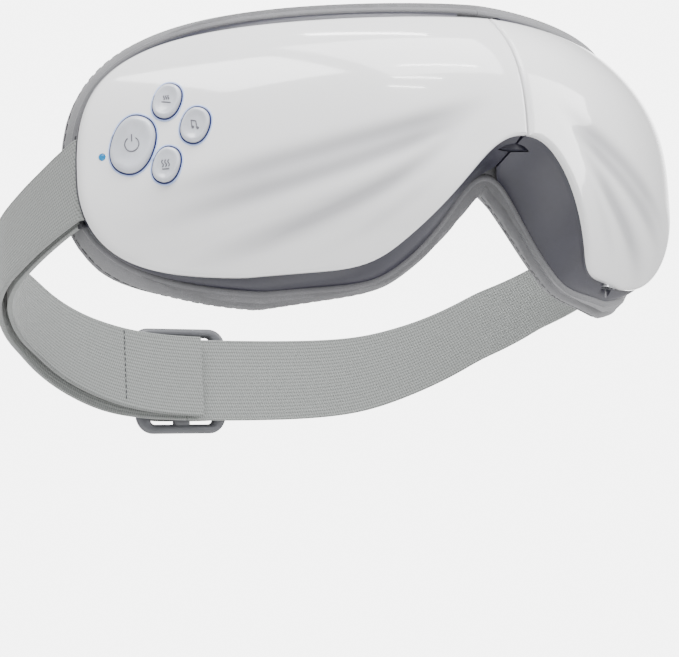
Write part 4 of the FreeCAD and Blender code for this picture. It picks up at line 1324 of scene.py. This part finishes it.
def bar_rings(middle_z):
    """The centre bar that the strap goes over."""
    rings = []
    ring = rounded_rectangle(6.0, 2.4, 1.0, 5)
    for z in (-14.9, 14.9):
        rings.append(np.stack([ring[:, 0], ring[:, 1] + BUCKLE_LOW_Y + 1.5, np.full(len(ring), middle_z + z)], 1))
    return rings


def build_buckle_strap(middle_z):
    """The strap where it bulges over the bar."""
    t = np.linspace(-1, 1, 33)
    half_length = 11.2
    x = BUCKLE_X + half_length * t
    y = BUCKLE_LOW_Y + 0.5 + 3.6 * np.sqrt(np.clip(1 - np.abs(t) ** 2.6, 0, 1))
    over = np.stack([x, y], 1)
    rings = []
    for (px, py), (nx, ny) in zip(over, plan_normals(over)):
        ring = strip_profile(13.2)
        bulge = 0.35 * (1 - ((px - BUCKLE_X) / half_length) ** 2)
        rings.append(np.stack([px + nx * ring[:, 1], py + ny * ring[:, 1] + bulge * (1 - (ring[:, 0] / 13.2) ** 2),
                               middle_z + ring[:, 0]], 1))
    points, faces = skin(rings)
    piece = new_piece("strap_over_bar", points, faces, M["strap_webbing"])
    steps = np.linalg.norm(np.diff(over, axis=0), axis=1)
    weave_uv(piece, over, np.concatenate([[0], np.cumsum(steps)]), 1)
    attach(piece, "buckle")
    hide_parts("buckle_strap")


def plan_normals(line):
    along = np.gradient(line, axis=0)
    along /= np.linalg.norm(along, axis=1)[:, None]
    return np.stack([-along[:, 1], along[:, 0]], 1)


def strip_profile(half_height):
    """Section of a strap strip: (height, thickness offset)."""
    half = STRAP_THICKNESS / 2
    side = [(-1, -0.5), (-0.97, -0.95), (-0.93, -0.85)]
    front = side + [(s, -0.9) for s in np.linspace(-0.85, 0.85, 13)] + [(-s, d) for s, d in side[::-1]]
    loop = front + [(s, -d) for s, d in front[::-1]]
    return np.array([(s * half_height, d * half) for s, d in loop])


# ---- Stage, light and camera ----

FLOOR_Z = -0.9
# A bright backdrop behind the mask and a dimmer room in front of it.
BACKDROP_WAY = (0.52, 0.85, 0.1)
BACKDROP_LIGHT = 6.0
ROOM_LIGHT = 0.8
LIT_CENTRE = (0.0, 0.0, 0.0)


def plain(name, value):
    made = Nodes(name, Roughness=0.9)
    made.out(made.ramp(made.noise(made.object_place(), 0.002, 2), (0.3, value - 0.01), (0.7, value + 0.01)),
             "Base Color")
    return made.material


def build_stage():
    mesh = bpy.data.meshes.new("floor")
    size = 12.0
    mesh.from_pydata([(-size, -size, FLOOR_Z), (size, -size, FLOOR_Z), (size, size, FLOOR_Z), (-size, size, FLOOR_Z)],
                     [], [(0, 1, 2, 3)])
    floor = bpy.data.objects.new("floor", mesh)
    mesh.materials.append(plain("floor_paper", 0.9))
    bpy.context.scene.collection.objects.link(floor)
    world = bpy.data.worlds.new("studio")
    world.use_nodes = True
    tree = world.node_tree
    place = tree.nodes.new("ShaderNodeTexCoord")
    facing = tree.nodes.new("ShaderNodeVectorMath")
    facing.operation = "DOT_PRODUCT"
    facing.inputs[1].default_value = BACKDROP_WAY
    strength = tree.nodes.new("ShaderNodeMapRange")
    strength.interpolation_type = "SMOOTHSTEP"
    strength.inputs["From Min"].default_value = 0.93
    strength.inputs["From Max"].default_value = 0.975
    strength.inputs["To Min"].default_value = ROOM_LIGHT
    strength.inputs["To Max"].default_value = BACKDROP_LIGHT
    tree.links.new(place.outputs["Generated"], facing.inputs[0])
    tree.links.new(facing.outputs["Value"], strength.inputs["Value"])
    tree.links.new(strength.outputs[0], tree.nodes["Background"].inputs["Strength"])
    tree.nodes["Background"].inputs["Color"].default_value = (1.0, 1.0, 1.0, 1)
    bpy.context.scene.world = world


def area_light(name, place, size, power):
    """Square soft light that faces the mask."""
    lamp = strip_light(name, Vector(place) - Vector((size / 2, 0, 0)), Vector(place) + Vector((size / 2, 0, 0)), size,
                       power)
    return lamp


def strip_light(name, start, end, width, power):
    """Rectangular light from one end point to the other, turned to face the mask."""
    start, end = Vector(start), Vector(end)
    middle = (start + end) / 2
    data = bpy.data.lights.new(name, "AREA")
    data.shape = "RECTANGLE"
    data.size = (end - start).length
    data.size_y = width
    data.energy = power
    lamp = bpy.data.objects.new(name, data)
    back = (middle - Vector(LIT_CENTRE)).normalized()
    along = (end - start) - (end - start).dot(back) * back
    along.normalize()
    place = Matrix((along, back.cross(along), back)).transposed().to_4x4()
    place.translation = middle
    lamp.matrix_world = place
    bpy.context.scene.collection.objects.link(lamp)
    return lamp


def build_lights():
    area_light("key", (-0.75, -0.55, 0.95), 0.5, 13.0)
    area_light("fill", (0.95, -0.5, 0.25), 0.8, 13.0)
    area_light("top", (0.0, -0.6, 1.05), 0.8, 20.0)
    area_light("under", (-0.3, -0.3, -0.8), 0.7, 2.0)
    strip_light("brow_strip", (-0.12, -0.03, 1.03), (0.15, -0.14, 1.01), 0.05, 1.6)
    strip_light("long_streak", (-0.23, -0.65, 0.79), (0.14, -0.70, 0.77), 0.018, 1.1)
    strip_light("middle_streak", (-0.32, -0.76, 0.65), (-0.12, -0.82, 0.63), 0.018, 0.6)
    strip_light("short_streak", (-0.37, -0.81, 0.55), (-0.24, -0.87, 0.53), 0.014, 0.35)


def build_camera():
    azimuth, elevation, roll = (math.radians(v) for v in (-31.4812, -6.2415, -2.7241))
    back = Vector((math.sin(azimuth) * math.cos(elevation), -math.cos(azimuth) * math.cos(elevation),
                   math.sin(elevation)))
    right = Vector((math.cos(azimuth), math.sin(azimuth), 0))
    up = right.cross(-back)
    turned_right = math.cos(roll) * right + math.sin(roll) * up
    turned_up = -math.sin(roll) * right + math.cos(roll) * up
    data = bpy.data.cameras.new("camera")
    data.lens = 117.187
    data.sensor_width = 36.0
    camera = bpy.data.objects.new("camera", data)
    place = Matrix((turned_right, turned_up, back)).transposed().to_4x4()
    place.translation = Vector((-0.35395, -0.51947, -0.10903))
    camera.matrix_world = place
    bpy.context.scene.collection.objects.link(camera)
    bpy.context.scene.camera = camera


give_cad_materials()
build_shells()
build_buttons()
build_light()
build_housings()
build_socket()
build_cushions()
build_face_pads()
build_strap()
build_anchors()
build_buckle()
build_stage()
build_lights()
build_camera()
